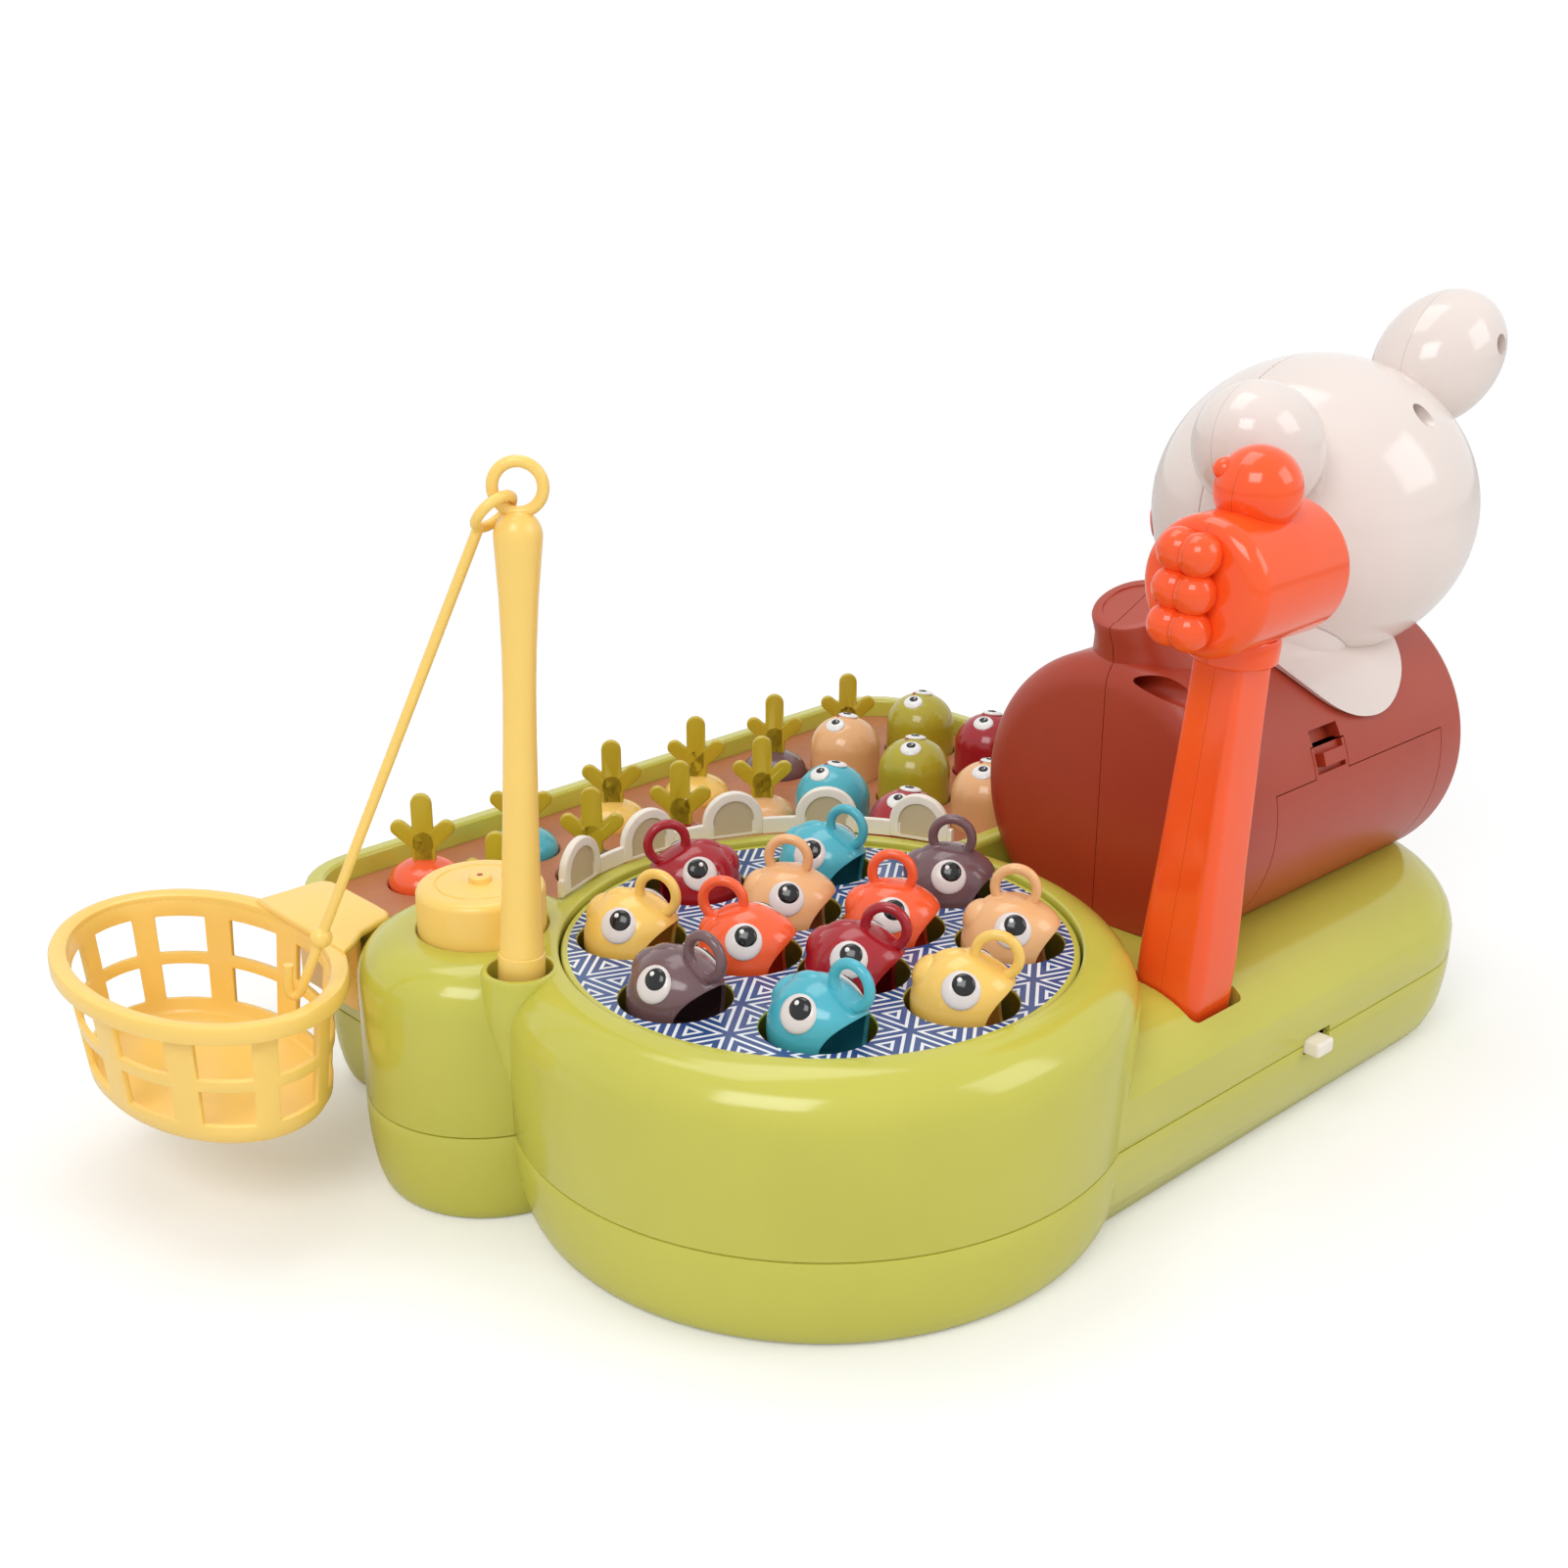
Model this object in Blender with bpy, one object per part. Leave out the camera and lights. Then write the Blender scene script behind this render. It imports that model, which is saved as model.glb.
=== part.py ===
"""Table-top pounding game: a fishing pool, a vegetable bed with pop-up moles, and a rabbit on a log.

Metres, +Z up. The origin is on the floor under the axis of the round pool, +X runs towards the
log's far end and +Y towards the vegetable bed.
"""
import math

import bmesh
import bpy
from mathutils import Matrix, Vector

# Fits and walls shared by all pieces
SEAM = 0.0003
OVERRUN = 0.004
WALL = 0.0024
WELD = 0.0000004

# Round pool of the base
PARTING_Z = 0.033
POOL_FOOT_R = 0.095
POOL_PARTING_R = 0.1036
POOL_R = 0.1045
POOL_SHOULDER_R = 0.018
RING_TOP_Z = 0.090
WELL_R = 0.0853
WELL_FLOOR_Z = 0.061

# Column beside the pool that carries the drum button
LOBE_CENTRE = (-0.0757, 0.0825)
LOBE_R = 0.042
LOBE_FOOT_R = 0.036
LOBE_TOP_Z = 0.0898
LOBE_SHOULDER_R = 0.016
BUTTON_HOLE_R = 0.0218

# Vegetable tray of the base: outer corners of its rim, left front first and counterclockwise
TRAY_LEFT_X = -0.093
TRAY_RIGHT_X = 0.233
TRAY_FRONT_Y = 0.0335
TRAY_BACK_LEFT_Y = 0.190
TRAY_BACK_RIGHT_Y = 0.2015
TRAY_FRONT_CORNER_R = 0.020
TRAY_BACK_CORNER_R = 0.030
TRAY_RIM_Z = 0.080
TRAY_RIM_ROUND = 0.0025
TRAY_RIM_WIDTH = 0.0075
TRAY_LEAN = 0.006
TRAY_FOOT_LEAN = 0.008
BED_LEDGE_WIDTH = 0.0025
SOIL_TOP_Z = 0.072
SOIL_THICKNESS = 0.003

# Arm of the base that carries the log and the hammer
ARM_LEFT_X = -0.020
ARM_RIGHT_X = 0.2875
ARM_FRONT_Y = -0.096
ARM_BACK_Y = 0.046
ARM_HIDDEN_CORNER_R = 0.040
ARM_END_CORNER_R = 0.055
ARM_TOP_Z = 0.065
ARM_SHOULDER_Z = 0.040
ARM_FRONT_SHOULDER = 0.034
ARM_END_SHOULDER = 0.014
ARM_FOOT_ROUND = 0.012

# Socket of the fishing rod and its spout on the outside
SOCKET_CENTRE = (-0.087, 0.046)
SOCKET_OUTER_R = 0.0125
SOCKET_HOLE_R = 0.0103
SOCKET_TOP_Z = 0.0902
SOCKET_FLOOR_Z = 0.0755
SPOUT_LOW_Z = 0.042
SPOUT_LOW_R = 0.005

# Hammer, in its own frame with its foot at zero, and the pocket that holds it
HAMMER_FOOT = (0.104, -0.0698, 0.040)
HAMMER_LEAN_DEG = 4.3
HANDLE_FOOT_HALF = 0.0133
HANDLE_MID_HALF = 0.0116
HANDLE_TOP_HALF = 0.0093
HANDLE_MID_Z = 0.070
HANDLE_TOP_Z = 0.141
HANDLE_CORNER_R = 0.006
COLLAR_R = 0.0144
COLLAR_HEIGHT = 0.008
BARREL_R = 0.0225
BARREL_Z = 0.1675
BARREL_BACK_X = -0.0255
BARREL_FACE_X = 0.0264
BARREL_ROUND = 0.006
BALL_R = 0.0139
BALL_Z = 0.1950
BALL_NUB_R = 0.004
BUMP_R = 0.0066
BUMP_PITCH_Y = 0.0100
BUMP_LIFTS = (0.0118, 0.0, -0.0118)
BUMP_SHIFT_Y = 0.0022
BUMP_OUT_SHARE = 0.65
NUB_DIRECTION_SHARES = (-0.70, 0.66, 0.27)
POCKET_PLAY = 0.0010
POCKET_FRONT_PLAY = 0.0050
POCKET_WALL = 0.0018

# Log of the rabbit
LOG_LEFT_X = 0.119
LOG_RIGHT_X = 0.277
LOG_Y = -0.020
LOG_Z = 0.108
LOG_R = 0.056
LOG_LEFT_ROUND = 0.009
LOG_RIGHT_ROUND = 0.005
STUMP_TOP_CENTRE = (0.133, -0.020, 0.181)
STUMP_LENGTH = 0.034
STUMP_R = 0.0155
STUMP_NECK_LENGTH = 0.010
STUMP_FLARE_R = 0.022
STUMP_LEAN_DEG = 24

# Battery door on the front side of the log
DOOR_LEFT_X = 0.147
DOOR_RIGHT_X = 0.258
DOOR_LOW_DEG = -46
DOOR_HIGH_DEG = 12.5
LATCH_LEFT_X = 0.172
LATCH_RIGHT_X = 0.193
LATCH_HIGH_DEG = 24

# Battery cells and their holder behind the door
CELL_R = 0.0071
CELL_LENGTH = 0.0492
CELL_NUB_R = 0.0026
CELL_NUB_LENGTH = 0.0013
CELL_LEFT_X = 0.178
CELL_ORBIT_R = 0.0460
CELL_ANGLES_DEG = (-30, -11, 8)
HOLDER_DEPTH = 0.0100
HOLDER_END = 0.0040
HOLDER_RISE_SHARE = 0.25
HOLDER_SPREAD_SHARE = 1.4
HOLDER_FOOT_THICKNESS = 0.0060

# Rabbit
HEAD_CENTRE = (0.2385, -0.0224, 0.2005)
HEAD_RADII = (0.0605, 0.0600, 0.0570)
HEAD_SPLIT_Y = -0.012
EAR_LEFT_OFFSET = (-0.0664, -0.0171, 0.0327)
EAR_RIGHT_OFFSET = (0.0532, -0.0159, 0.0520)
EAR_LONG = 0.0290
EAR_WIDE = 0.0225
SCREW_WELL_R = 0.0040
SCREW_WELL_DEPTH = 0.0080
HEAD_SCREW_X = 0.2385
HEAD_SCREW_Z = 0.240
RABBIT_BODY_CENTRE = (0.214, -0.020, 0.165)
RABBIT_BODY_RADII = (0.0360, 0.0460, 0.0400)
BIB_THICKNESS = 0.0025
BIB_NEAR_Y = -0.090
BIB_FAR_Y = -0.055
BIB_HALF_WIDTH = 0.038
BIB_LOW_Z = 0.1346
BIB_HEIGHT = 0.0374

# Fence on the pool's shoulder
FENCE_R = 0.093
FENCE_THICKNESS = 0.003
FENCE_FOOT_Z = 0.0895
FENCE_RAIL_HEIGHT = 0.0060
FENCE_PICKET_WIDTH = 0.0230
FENCE_TOP_Z = 0.107
FENCE_FIRST_DEG = 22.5
FENCE_PITCH_DEG = 21.75
FENCE_PICKETS = 5
FENCE_OVERHANG_DEG = 8

# Turntable of the pool
DISC_R = 0.0845
DISC_TOP_Z = 0.088
DISC_LIFT = 0.0004
SPINDLE_R = 0.008
SPINDLE_LOW_Z = 0.036
GEAR_MODULE = 0.0015
GEAR_TEETH = 24
PINION_TEETH = 8
GEAR_WIDTH = 0.008
GEAR_LOW_Z = 0.0385
GEAR_BACKLASH = 0.0003
BEARING_POST_R = 0.0060

# Fish and their pockets in the turntable
FISH_OUTER_ORBIT = 0.062
FISH_INNER_ORBIT = 0.026
FISH_HALF_LENGTH = 0.0162
FISH_HALF_WIDTH = 0.0148
FISH_FLOOR_Z = 0.0740
FISH_TOP_Z = 0.1047
FISH_BELLY_SHARE = 0.42
FISH_PLAY = 0.0016
FISH_LOOP_R = 0.0068
FISH_LOOP_TUBE_R = 0.0017
LOOP_OUT_NOSE = 0.0128
LOOP_OUT_BROW = 0.0104
LOOP_OUT_TOP = 0.0012
LOOP_OUT_TAIL = -0.0077
LOOP_UP_HIGH = 0.0190
LOOP_UP_MID = 0.0174
LOOP_UP_LOW = 0.0166
MOUTH_R = 0.0080
MOUTH_REACH = 0.0090
MOUTH_Z = 0.0894

# Moles and the holes of the soil plate
MOLE_R = 0.0140
MOLE_TOP_Z = 0.0975
MOLE_FOOT_Z = 0.0600
MOLE_FLANGE_R = 0.0150
MOLE_FLANGE_HEIGHT = 0.0025
MOLE_PRESS = 0.006
MOLE_PITCH_X = 0.0475
MOLE_PITCH_Y = 0.0405
MOLE_CENTRE = (0.152, 0.0997)

# Carrots and their cups in the soil plate
CARROT_R = 0.0120
CARROT_CROWN_Z = 0.0810
CARROT_TIP_Z = 0.0520
CARROT_TIP_R = 0.0036
CARROT_BACK_START = (-0.046, 0.163)
CARROT_BACK_PITCH = 0.0445
CARROT_BACK_COUNT = 6
CARROT_FRONT_START = (-0.0395, 0.1255)
CARROT_FRONT_PITCH = 0.0432
CARROT_FRONT_COUNT = 4
CARROT_SUNK = 0.006
LEAF_HEIGHT = 0.0255
LEAF_THICKNESS = 0.0026
CUP_WALL = 0.0012

# Switch board under the moles
MOLE_BOARD_THICKNESS = 0.0016
MOLE_BOARD_TOP_Z = 0.0516
MOLE_BOARD_MARGIN = 0.005
MOLE_SWITCH_R = 0.003
POST_R = 0.003

# Drum button
BUTTON_R = 0.0213
BUTTON_TOP_Z = 0.105
BUTTON_ROUND = 0.004
BUTTON_FLANGE_R = 0.0232
BUTTON_FLANGE_HEIGHT = 0.002
BUTTON_WALL = 0.002
BUTTON_KNOB_R = 0.003
BUTTON_KNOB_HEIGHT = 0.0012

# Fishing rod, along its own leaning axis from the socket's floor
ROD_LEAN = (0.028, -0.0265)
ROD_FOOT_R = 0.0064
ROD_GRIP_R = 0.0071
ROD_COLLAR_R = 0.0074
ROD_NECK_R = 0.00495
ROD_HEAD_R = 0.00725
ROD_COLLAR_S = 0.020
ROD_COLLAR_HEIGHT = 0.002
ROD_NECK_S = 0.104
ROD_HEAD_S = 0.152
ROD_TOP_S = 0.160
ROD_RING_R = 0.0074
ROD_RING_TUBE_R = 0.0018
ROD_RING_LIFT = 0.0066

# Fishing line: link, straight bar, knob and hook, in the upright plane through rod and basket
LINE_LINK_R = 0.0066
LINE_LINK_TUBE_R = 0.0016
LINE_LINK_DROP = 0.0102
LINE_LINK_DEG = 45
LINE_LINK_TWIST_DEG = 25
LINE_BAR_R = 0.00165
LINE_KNOB_R = 0.0042
LINE_KNOB_AT = (-0.1320, 0.0882, 0.1006)
HOOK_WIRE_R = 0.0015
HOOK_DROP = 0.0205
HOOK_SHARES = ((0, 0), (0.17, -0.40), (0.32, -0.74), (0.40, -0.94), (0.51, -1.0), (0.59, -0.88), (0.54, -0.46))

# Basket that hangs on the tray's rim
BASKET_CENTRE = (-0.1478, 0.143)
BASKET_RIM_HALF = (0.0425, 0.0640)
BASKET_FLOOR_HALF = (0.0330, 0.0530)
BASKET_RIM_WIDTH = 0.0050
BASKET_RIM_Z = 0.081
BASKET_FLOOR_Z = 0.037
BASKET_WALL = 0.002
BASKET_BAYS = 10
CLIP_LOW_Y = 0.1220
CLIP_HIGH_Y = 0.1700
CLIP_THICKNESS = 0.003
CLIP_HOOK_DEPTH = 0.006
CLIP_HOOK_THICKNESS = 0.0018
CLIP_HOOK_MARGIN = 0.012
CLIP_SKIRT_X = -0.0985
CLIP_SKIRT_THICKNESS = 0.0022
CLIP_SKIRT_LOW_Z = 0.048
CLIP_SKIRT_MARGIN = 0.004
BASKET_LEVEL_SHARES = (0, 0.14, 0.43, 0.53, 0.83, 1.0)

# Power switch on the front wall
SWITCH_X = 0.150
SWITCH_Z = 0.0325
SWITCH_HALF_WIDTH = 0.0050
SWITCH_HALF_HEIGHT = 0.0030
SWITCH_PROUD = 0.0060
SWITCH_TRAVEL = 0.006
SWITCH_PLATE_THICKNESS = 0.0016
SWITCH_PLATE_MARGIN = 0.0030
SWITCH_SETBACK = 0.0014

# Electric parts
MOTOR_R = 0.0105
MOTOR_TOP_Z = 0.031
MOTOR_SHAFT_R = 0.0015
SPEAKER_CENTRE = (-0.070, 0.075)
SPEAKER_R = 0.0200
SPEAKER_HEIGHT = 0.0120
BOARD_CENTRE = (0.105, -0.020)
BOARD_HALF = (0.036, 0.024)
BOARD_THICKNESS = 0.0016
CHIP_HALF = 0.006
CHIP_HEIGHT = 0.002

# Sides of the round pieces
POOL_SIDES = 36
WELL_SIDES = 30
LOBE_SIDES = 20
LOG_SIDES = 28
HEAD_SIDES = 20
HIDDEN_SIDES = 18
ROUND_SIDES = 16
SMALL_SIDES = 10
CARROT_SIDES = 8
TINY_SIDES = 7
CORNER_STEPS = 4
HIDDEN_CORNER_STEPS = 2

# Colours as seen, red, green and blue from 0 to 255
GREEN = (197, 196, 88)
YELLOW = (253, 212, 122)
ORANGE = (255, 105, 60)
BROWN = (158, 66, 44)
CREAM = (233, 224, 212)
IVORY = (238, 228, 212)
SOIL = (196, 127, 86)
NAVY = (56, 84, 138)
GREY = (150, 150, 150)
BOARD_GREEN = (40, 105, 60)
STEEL = (190, 190, 185)
SAND = (252, 208, 120)
CRIMSON = (165, 35, 52)
PLUM = (120, 90, 95)
TEAL = (85, 190, 205)
PEACH = (246, 192, 138)
OLIVE = (192, 176, 56)


def clear_scene():
    """Empties the scene of its objects."""
    for obj in list(bpy.data.objects):
        bpy.data.objects.remove(obj)


def plastic(name, colour, roughness=0.3, metallic=0.0):
    """Principled material of one colour, made once and shared."""
    material = bpy.data.materials.get(name)
    if material:
        return material
    material = bpy.data.materials.new(name)
    material.use_nodes = True
    shader = material.node_tree.nodes["Principled BSDF"]
    linear = [(channel / 255) ** 2.2 for channel in colour]
    shader.inputs["Base Color"].default_value = (*linear, 1)
    shader.inputs["Roughness"].default_value = roughness
    shader.inputs["Metallic"].default_value = metallic
    material.diffuse_color = (*linear, 1)
    return material


def to_object(name, bm):
    """Welds a bmesh, turns its faces outward and links it as an object."""
    bmesh.ops.remove_doubles(bm, verts=bm.verts, dist=WELD)
    bmesh.ops.recalc_face_normals(bm, faces=bm.faces)
    mesh = bpy.data.meshes.new(name)
    bm.to_mesh(mesh)
    bm.free()
    obj = bpy.data.objects.new(name, mesh)
    bpy.context.scene.collection.objects.link(obj)
    return obj


def finish(obj, material, pivot=(0, 0, 0), parent=None):
    """Gives a piece its material and shading and puts its origin on the pivot."""
    pivot = Vector(pivot)
    obj.data.transform(Matrix.Translation(-pivot))
    obj.data.materials.clear()
    obj.data.materials.append(material)
    obj.data.shade_smooth()
    obj.data.set_sharp_from_angle(angle=math.radians(35))
    if parent:
        obj.parent = parent
        obj.location = pivot - parent.location
    else:
        obj.location = pivot
    return obj


def combine(body, tool, operation):
    """Applies a Boolean of the tool to the body and removes the tool."""
    modifier = body.modifiers.new(operation.title(), "BOOLEAN")
    modifier.operation = operation
    modifier.solver = "EXACT"
    modifier.object = tool
    graph = bpy.context.evaluated_depsgraph_get()
    result = bpy.data.meshes.new_from_object(body.evaluated_get(graph))
    body.modifiers.clear()
    spent = body.data
    body.data = result
    bpy.data.meshes.remove(spent)
    bpy.data.objects.remove(tool)


def join(body, *tools):
    """Boolean union of several solids into the first."""
    for tool in tools:
        combine(body, tool, "UNION")
    return body


def cut(body, *tools):
    """Boolean cut of several solids from the first."""
    for tool in tools:
        combine(body, tool, "DIFFERENCE")
    return body


def keep(body, tool):
    """Keeps what a solid shares with the tool."""
    combine(body, tool, "INTERSECT")
    return body


def copy_of(obj, name):
    """A second object with its own copy of the mesh."""
    twin = obj.copy()
    twin.data = obj.data.copy()
    twin.name = name
    bpy.context.scene.collection.objects.link(twin)
    return twin


def arc(centre, radii, start_deg, end_deg, steps):
    """Points of an elliptic arc about a centre, both ends included."""
    points = []
    for step in range(steps + 1):
        angle = math.radians(start_deg + (end_deg - start_deg) * step / steps)
        points.append((centre[0] + radii[0] * math.cos(angle), centre[1] + radii[1] * math.sin(angle)))
    return points


def turned(name, profile, sides, place=Matrix()):
    """Solid of revolution about local Z from a profile of (radius, height), foot first."""
    bm = bmesh.new()
    verts = [bm.verts.new((radius, 0, height)) for radius, height in profile]
    edges = [bm.edges.new(pair) for pair in zip(verts, verts[1:])]
    if profile[0][0] > 0 and profile[-1][0] > 0:
        edges.append(bm.edges.new((verts[-1], verts[0])))
    bmesh.ops.spin(
        bm, geom=verts + edges, axis=(0, 0, 1), cent=(0, 0, 0), dvec=(0, 0, 0),
        angle=math.tau, steps=sides, use_merge=True,
    )
    bmesh.ops.transform(bm, matrix=place, verts=bm.verts)
    return to_object(name, bm)


def at(x, y, z=0):
    """Placement matrix of a plain shift."""
    return Matrix.Translation((x, y, z))


def facing(direction, centre):
    """Placement matrix that turns local Z to a direction and moves to a centre."""
    turn = Vector(direction).to_track_quat("Z", "Y").to_matrix().to_4x4()
    return Matrix.Translation(centre) @ turn


def prism(name, outline, low, high, place=Matrix()):
    """Straight prism of a plan outline between two heights."""
    bm = bmesh.new()
    face = bm.faces.new([bm.verts.new((x, y, low)) for x, y in outline])
    raised = bmesh.ops.extrude_face_region(bm, geom=[face])
    moved = [item for item in raised["geom"] if isinstance(item, bmesh.types.BMVert)]
    bmesh.ops.translate(bm, vec=(0, 0, high - low), verts=moved)
    bmesh.ops.transform(bm, matrix=place, verts=bm.verts)
    return to_object(name, bm)


def box(name, low, high):
    """Block between two opposite corners."""
    size = [b - a for a, b in zip(low, high)]
    middle = [(a + b) / 2 for a, b in zip(low, high)]
    bm = bmesh.new()
    bmesh.ops.create_cube(bm, size=1, matrix=Matrix.Translation(middle) @ Matrix.Diagonal((*size, 1)))
    return to_object(name, bm)


def ball(name, centre, radii, sides, rings, turn=Matrix()):
    """Ellipsoid about a centre, turned by a rotation."""
    bm = bmesh.new()
    place = Matrix.Translation(centre) @ turn @ Matrix.Diagonal((*radii, 1))
    bmesh.ops.create_uvsphere(bm, u_segments=sides, v_segments=rings, radius=1, matrix=place)
    return to_object(name, bm)


def hoop(name, place, radius, tube_r, sides, tube_sides):
    """Torus about local Z."""
    profile = arc((radius, 0), (tube_r, tube_r), 0, 360, tube_sides)[:-1]
    return turned(name, profile, sides, place)


def tube(name, points, radius):
    """Round wire along a polyline, with closed ends."""
    curve = bpy.data.curves.new(name, "CURVE")
    curve.dimensions = "3D"
    curve.bevel_depth = radius
    curve.bevel_resolution = 1
    curve.use_fill_caps = True
    spline = curve.splines.new("POLY")
    spline.points.add(len(points) - 1)
    for target, point in zip(spline.points, points):
        target.co = (*point, 1)
    source = bpy.data.objects.new(name, curve)
    bpy.context.scene.collection.objects.link(source)
    graph = bpy.context.evaluated_depsgraph_get()
    bm = bmesh.new()
    bm.from_mesh(bpy.data.meshes.new_from_object(source.evaluated_get(graph)))
    bpy.data.objects.remove(source)
    return to_object(name, bm)


def rounded_outline(corners, insets, steps=CORNER_STEPS):
    """Outline of a convex polygon of (x, y, radius), side i moved inwards by insets[i]."""
    sides = []
    for i, corner in enumerate(corners):
        start = Vector(corner[:2])
        along = (Vector(corners[(i + 1) % len(corners)][:2]) - start).normalized()
        inward = Vector((-along.y, along.x))
        sides.append((start + inward * insets[i], along, inward))
    points = []
    for i, corner in enumerate(corners):
        (p, d, n), (q, e, m) = sides[i - 1], sides[i]
        tip = p + d * ((q - p).cross(e) / d.cross(e))
        radius = corner[2] - (insets[i - 1] + insets[i]) / 2
        centre = tip + (n + m) * (radius / (1 + n.dot(m)))
        start = math.atan2(-n.y, -n.x)
        turn = math.atan2(d.cross(e), d.dot(e))
        for step in range(steps + 1):
            angle = start + turn * step / steps
            points.append((centre.x + radius * math.cos(angle), centre.y + radius * math.sin(angle)))
    return points


def slab(name, corners, levels, steps=CORNER_STEPS):
    """Lofted block: one rounded outline for each level of (insets, height), lowest first."""
    bm = bmesh.new()
    rings = []
    for insets, height in levels:
        outline = rounded_outline(corners, insets, steps)
        rings.append([bm.verts.new((x, y, height)) for x, y in outline])
    count = len(rings[0])
    for lower, upper in zip(rings, rings[1:]):
        for i in range(count):
            j = (i + 1) % count
            bm.faces.new((lower[i], lower[j], upper[j], upper[i]))
    bm.faces.new(rings[0][::-1])
    bm.faces.new(rings[-1])
    return to_object(name, bm)


TRAY_CORNERS = (
    (TRAY_LEFT_X, TRAY_FRONT_Y, TRAY_FRONT_CORNER_R),
    (TRAY_RIGHT_X, TRAY_FRONT_Y, TRAY_FRONT_CORNER_R),
    (TRAY_RIGHT_X, TRAY_BACK_RIGHT_Y, TRAY_BACK_CORNER_R),
    (TRAY_LEFT_X, TRAY_BACK_LEFT_Y, TRAY_BACK_CORNER_R),
)
ARM_CORNERS = (
    (ARM_LEFT_X, ARM_FRONT_Y, ARM_HIDDEN_CORNER_R),
    (ARM_RIGHT_X, ARM_FRONT_Y, ARM_END_CORNER_R),
    (ARM_RIGHT_X, ARM_BACK_Y, ARM_END_CORNER_R),
    (ARM_LEFT_X, ARM_BACK_Y, ARM_HIDDEN_CORNER_R),
)
ARM_SHOULDERS = (ARM_FRONT_SHOULDER, ARM_END_SHOULDER, ARM_END_SHOULDER, 0)
LEDGE_Z = SOIL_TOP_Z - SOIL_THICKNESS - SEAM
UPPER_LOW_Z = PARTING_Z + SEAM / 2
LOWER_TOP_Z = PARTING_Z - SEAM / 2


def pool_profile(wall, low, steps=4):
    """Profile of the pool's upper body, or of the room inside it at a wall's depth."""
    shoulder = POOL_SHOULDER_R - wall
    centre = (POOL_R - POOL_SHOULDER_R, RING_TOP_Z - POOL_SHOULDER_R)
    crown = arc(centre, (shoulder, shoulder), 0, 90, steps)
    return [(0, low), (POOL_PARTING_R - wall, low), *crown, (0, RING_TOP_Z - wall)]


def lobe_profile(wall, low, steps=3):
    """Profile of the button column's upper body, or of the room inside it."""
    shoulder = LOBE_SHOULDER_R - wall
    centre = (LOBE_R - LOBE_SHOULDER_R, LOBE_TOP_Z - LOBE_SHOULDER_R)
    crown = arc(centre, (shoulder, shoulder), 0, 90, steps)
    return [(0, low), (LOBE_R - wall, low), *crown, (0, LOBE_TOP_Z - wall)]


def foot_curve(wall, top, steps=3):
    """Share of the foot's inset and height at each level of a lower body, lowest first."""
    levels = []
    for step in range(steps):
        angle = math.radians(90 * (1 - step / steps))
        levels.append((1 - math.cos(angle), wall + (PARTING_Z - wall) * (1 - math.sin(angle))))
    return [*levels, (0, top)]


def foot_profile(foot_r, parting_r, wall, top):
    """Profile of a round lower body that curves in to its foot."""
    outer = parting_r - wall
    side = [(outer - (parting_r - foot_r) * share, height) for share, height in foot_curve(wall, top)]
    return [(0, wall), *side, (0, top)]


def arm_levels(wall, low, steps=4):
    """Levels of the arm's upper body: a straight wall and an elliptic shoulder."""
    levels = [((wall,) * 4, low)]
    for step in range(steps + 1):
        angle = math.radians(90 * step / steps)
        insets = [wall + shoulder * (1 - math.cos(angle)) for shoulder in ARM_SHOULDERS]
        rise = (ARM_TOP_Z - ARM_SHOULDER_Z) * math.sin(angle)
        levels.append((insets, ARM_SHOULDER_Z - wall + rise))
    return levels


def foot_levels(inset, extra, wall, top):
    """Levels of a lower body that curves in to its foot by an extra inset."""
    return [((inset + wall + extra * share,) * 4, height) for share, height in foot_curve(wall, top)]


def tray_levels(low):
    """Levels of the tray's upper body: a leaning wall and a rounded rim."""
    rim_start = TRAY_RIM_Z - TRAY_RIM_ROUND
    levels = [((TRAY_LEAN,) * 4, low)]
    for angle in (0, 45, 90):
        inset = TRAY_RIM_ROUND * (1 - math.cos(math.radians(angle)))
        levels.append(((inset,) * 4, rim_start + TRAY_RIM_ROUND * math.sin(math.radians(angle))))
    return levels


def flat_levels(inset, low, high):
    """Two levels of one upright wall."""
    return [((inset,) * 4, low), ((inset,) * 4, high)]


def hammer_frame():
    """Placement of the leaning hammer."""
    return Matrix.Translation(HAMMER_FOOT) @ Matrix.Rotation(math.radians(HAMMER_LEAN_DEG), 4, "X")


def pocket(name, margin, low, high):
    """Leaning block of the hammer's pocket, grown by a margin."""
    half = HANDLE_FOOT_HALF + POCKET_PLAY + margin
    front = half + POCKET_FRONT_PLAY
    outline = [(-half, -front), (half, -front), (half, half), (-half, half)]
    return prism(name, outline, low, high, hammer_frame())


def switch_window(name):
    """Cutter of the power switch's window in the front wall."""
    low_x = SWITCH_X - SWITCH_HALF_WIDTH - SEAM
    high_x = SWITCH_X + SWITCH_HALF_WIDTH + SWITCH_TRAVEL + SEAM
    low_z = SWITCH_Z - SWITCH_HALF_HEIGHT - SEAM
    high_z = SWITCH_Z + SWITCH_HALF_HEIGHT + SEAM
    return box(name, (low_x, ARM_FRONT_Y - OVERRUN, low_z), (high_x, ARM_FRONT_Y + OVERRUN, high_z))


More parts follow.
